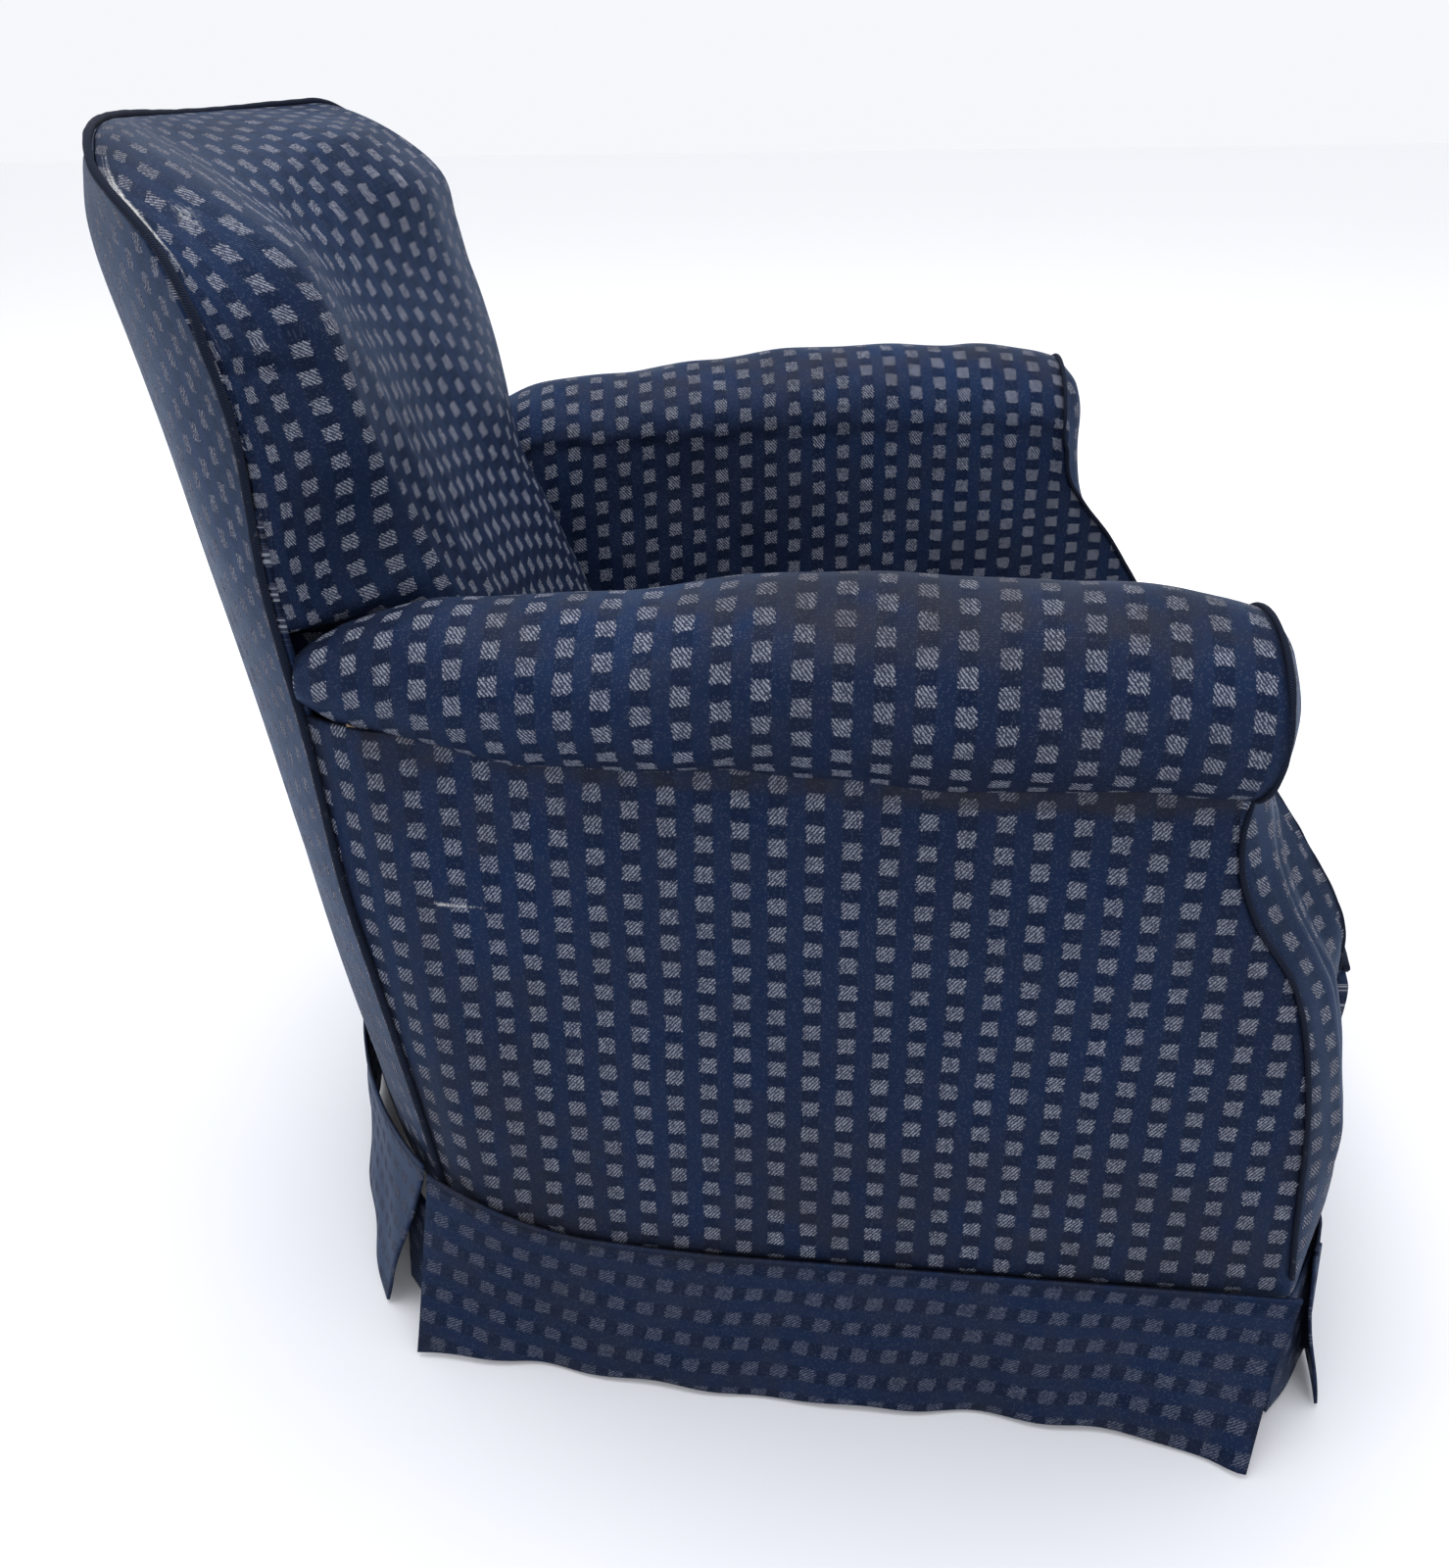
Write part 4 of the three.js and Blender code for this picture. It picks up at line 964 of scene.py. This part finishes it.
def front_skirt():
    x = np.linspace(-FRONT_HALF, FRONT_HALF, SKIRT_COLS)
    share = np.abs(x) / FRONT_HALF
    facing_foot = through([(0.0, -0.300), (0.24, -0.396), (0.27, -0.402), (0.31, -0.399), (0.338, -0.388)],
                          np.abs(x))
    top = grid_of(x, np.minimum(border_y(x, SKIRT_TOP), facing_foot) - SKIRT_PROUD, SKIRT_TOP)
    hem = grid_of(x * (1 + 0.10 * share ** 6), -0.447 - 0.004 * (1 - share ** 2) + 0.040 * share ** 3,
                  0.004 + 0.002 * np.sin(x * 19) ** 2)
    skirt_shell("front_skirt", top, hem, np.array([0, 1.0, 0]), "skirt_front",
                85)


def back_skirt():
    x = np.linspace(-REAR_HALF, REAR_HALF, SKIRT_COLS)
    share = np.abs(x) / REAR_HALF
    seam_z = SKIRT_TOP + 0.024 * share ** 4
    top = grid_of(x, back_y(x, seam_z) + SKIRT_PROUD, seam_z)
    hem = grid_of(x * (1 - 0.02 * share ** 3), back_y(x, RAIL_BOTTOM) + 0.018 + 0.045 * share ** 3,
                  0.004 + 0.002 * np.sin(x * 23) ** 2)
    skirt_shell("back_skirt", top, hem, np.array([0, -1.0, 0]), "skirt_back",
                87)


def flap(side, end, x, y, turn):
    """A backing flap that closes a corner split from behind."""
    rows, cols = 16, 14
    t = np.linspace(0, 1, rows)[:, None]
    a = np.linspace(-1, 1, cols)[None, :]
    spread = a * (0.036 * (1 + 0.10 * t))
    run = math.radians(turn)
    out = 0.010 * t
    rearward = 1 if end == "rear" else -1
    outer = grid_of(side * (x + spread * math.cos(run) + out * math.sin(abs(run))),
                    y + spread * math.sin(run) + out * rearward * 0.6, 0.110 - t * 0.104)
    outer[..., 0] += side * 0.002 * np.sin(a * 3 + t)
    inner = outer - np.array([side * CLOTH_THICK * 0.8, rearward * CLOTH_THICK * 0.6, 0])
    uv = arc_uv(outer, cols // 2)[..., ::-1]
    where = f"{end}_{half_of(side)}"
    piece = add_shell(f"skirt_backing_{where}", outer, inner, uv, SKIRT, [f"skirt_flap_{where}"], None, 0.6)


outside_back()
back_pad()
back_piping()
for side in (LEFT, RIGHT):
    half = half_of(side)
    arm_pad(side, f"arm_cover_{half}")
    outside_arm(side, f"outside_arm_cover_{half}")
    facing(side, f"arm_facing_cover_{half}")
    arm_piping(side, f"arm_seam_piping_{half}")
    side_skirt(side, f"side_skirt_{half}")
seat_pad()
seat_border()
seat_piping()
front_skirt()
back_skirt()
for side in (LEFT, RIGHT):
    flap(side, "front", 0.346, -0.386, 40)
    flap(side, "rear", 0.288, 0.252, -38)

# ---- the frame inside
INNER_FINISH = {
    ("leg_", "seat_rail_", "corner_block_", "arm_post_", "arm_rail_", "tacking_rail_", "back_post_",
     "back_top_rail", "back_lower_rail"): beech_wood(),
    ("glide_",): worn_steel("scuffed_glide", rgb(0.52, 0.51, 0.49), rgb(0.16, 0.10, 0.06), 0.30),
    ("seat_spring_",): worn_steel("tarnished_spring", rgb(0.22, 0.17, 0.12), rgb(0.12, 0.06, 0.03), 0.40),
    ("webbing_",): plain_weave("jute_webbing", rgb(0.42, 0.32, 0.19), rgb(0.17, 0.115, 0.06), 0.005),
    ("spring_canvas",): plain_weave("hessian_canvas", rgb(0.34, 0.26, 0.155), rgb(0.10, 0.07, 0.04), 0.0032),
}
for name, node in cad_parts.items():
    for starts, finish in INNER_FINISH.items():
        if name.startswith(starts):
            node.data.materials.clear()
            node.data.materials.append(finish)

# ---- floor, light and camera
FLOOR_HALF = 9.0


def studio_floor():
    """A pale floor, a little lighter on the far side of the chair."""
    mesh = bpy.data.meshes.new("studio_floor")
    corners = [(x * FLOOR_HALF, y * FLOOR_HALF, 0) for x, y in ((-1, -1), (1, -1), (1, 1), (-1, 1))]
    mesh.from_pydata(corners, [], [(0, 1, 2, 3)])
    g = Graph("pale_floor")
    spot = g.spot()
    cloud = g.noise(spot, 2.2, 4.0, 0.55)
    near = g.mix(cloud, rgb(0.72, 0.735, 0.775), rgb(0.775, 0.785, 0.815))
    beyond = g.smooth(g.split(spot)[0], 0.30, 1.10)
    colour = g.mix(beyond, near, rgb(0.965, 0.97, 0.98))
    mesh.materials.append(g.finish(Base_Color=colour, Roughness=0.62, Specular_IOR_Level=0.25))
    floor = in_scene("studio_floor", mesh)


def softbox(name, place, aim, size, power, colour):
    lamp = bpy.data.lights.new(name, "AREA")
    lamp.shape = "RECTANGLE"
    lamp.size, lamp.size_y = size
    lamp.energy = power
    lamp.color = colour
    made = in_scene(name, lamp)
    made.location = place
    made.rotation_euler = (Vector(aim) - Vector(place)).to_track_quat("-Z", "Y").to_euler()


studio_floor()
softbox("overhead_softbox", (0.3, 0.3, 2.9), (0, 0, 0.4), (2.6, 2.2), 75, (1.0, 0.99, 0.98))
softbox("camera_fill", (-2.6, -0.9, 1.9), (0, 0, 0.4), (1.6, 1.4), 18, (0.97, 0.98, 1.0))
softbox("rear_softbox", (-0.6, 2.6, 1.9), (0, 0.2, 0.5), (1.6, 1.4), 6, (0.95, 0.97, 1.0))

world = bpy.data.worlds.new("studio_air")
world.use_nodes = True
air = world.node_tree.nodes["Background"].inputs
air["Color"].default_value = rgb(0.955, 0.965, 1.0)
air["Strength"].default_value = 0.97
bpy.context.scene.world = world
bpy.context.scene.view_settings.view_transform = "Standard"

CAMERA_PLACE = (-1.05, CENTRE_SHIFT, 0.907)
CAMERA_PITCH, CAMERA_YAW, CAMERA_ROLL = (math.radians(a) for a in (29.4, 1.6, -0.9))
FOCAL_SHARE = 0.89375  # focal length over the longer side of the picture
SENSOR = 36.0


def camera():
    """The photo's view: from the sitter's right, a little above the arms."""
    ahead = Vector((math.cos(CAMERA_YAW) * math.cos(CAMERA_PITCH),
                    math.sin(CAMERA_YAW) * math.cos(CAMERA_PITCH), -math.sin(CAMERA_PITCH)))
    level = ahead.cross(Vector((0, 0, 1))).normalized()
    plumb = level.cross(ahead)
    right = level * math.cos(CAMERA_ROLL) + plumb * math.sin(CAMERA_ROLL)
    up = -level * math.sin(CAMERA_ROLL) + plumb * math.cos(CAMERA_ROLL)
    lens = bpy.data.cameras.new("photo_camera")
    lens.sensor_width = SENSOR
    lens.lens = SENSOR * FOCAL_SHARE
    made = in_scene("photo_camera", lens)
    made.matrix_world = Matrix((
        (right.x, up.x, -ahead.x, CAMERA_PLACE[0]), (right.y, up.y, -ahead.y, CAMERA_PLACE[1]),
        (right.z, up.z, -ahead.z, CAMERA_PLACE[2]), (0, 0, 0, 1)))
    bpy.context.scene.camera = made


camera()
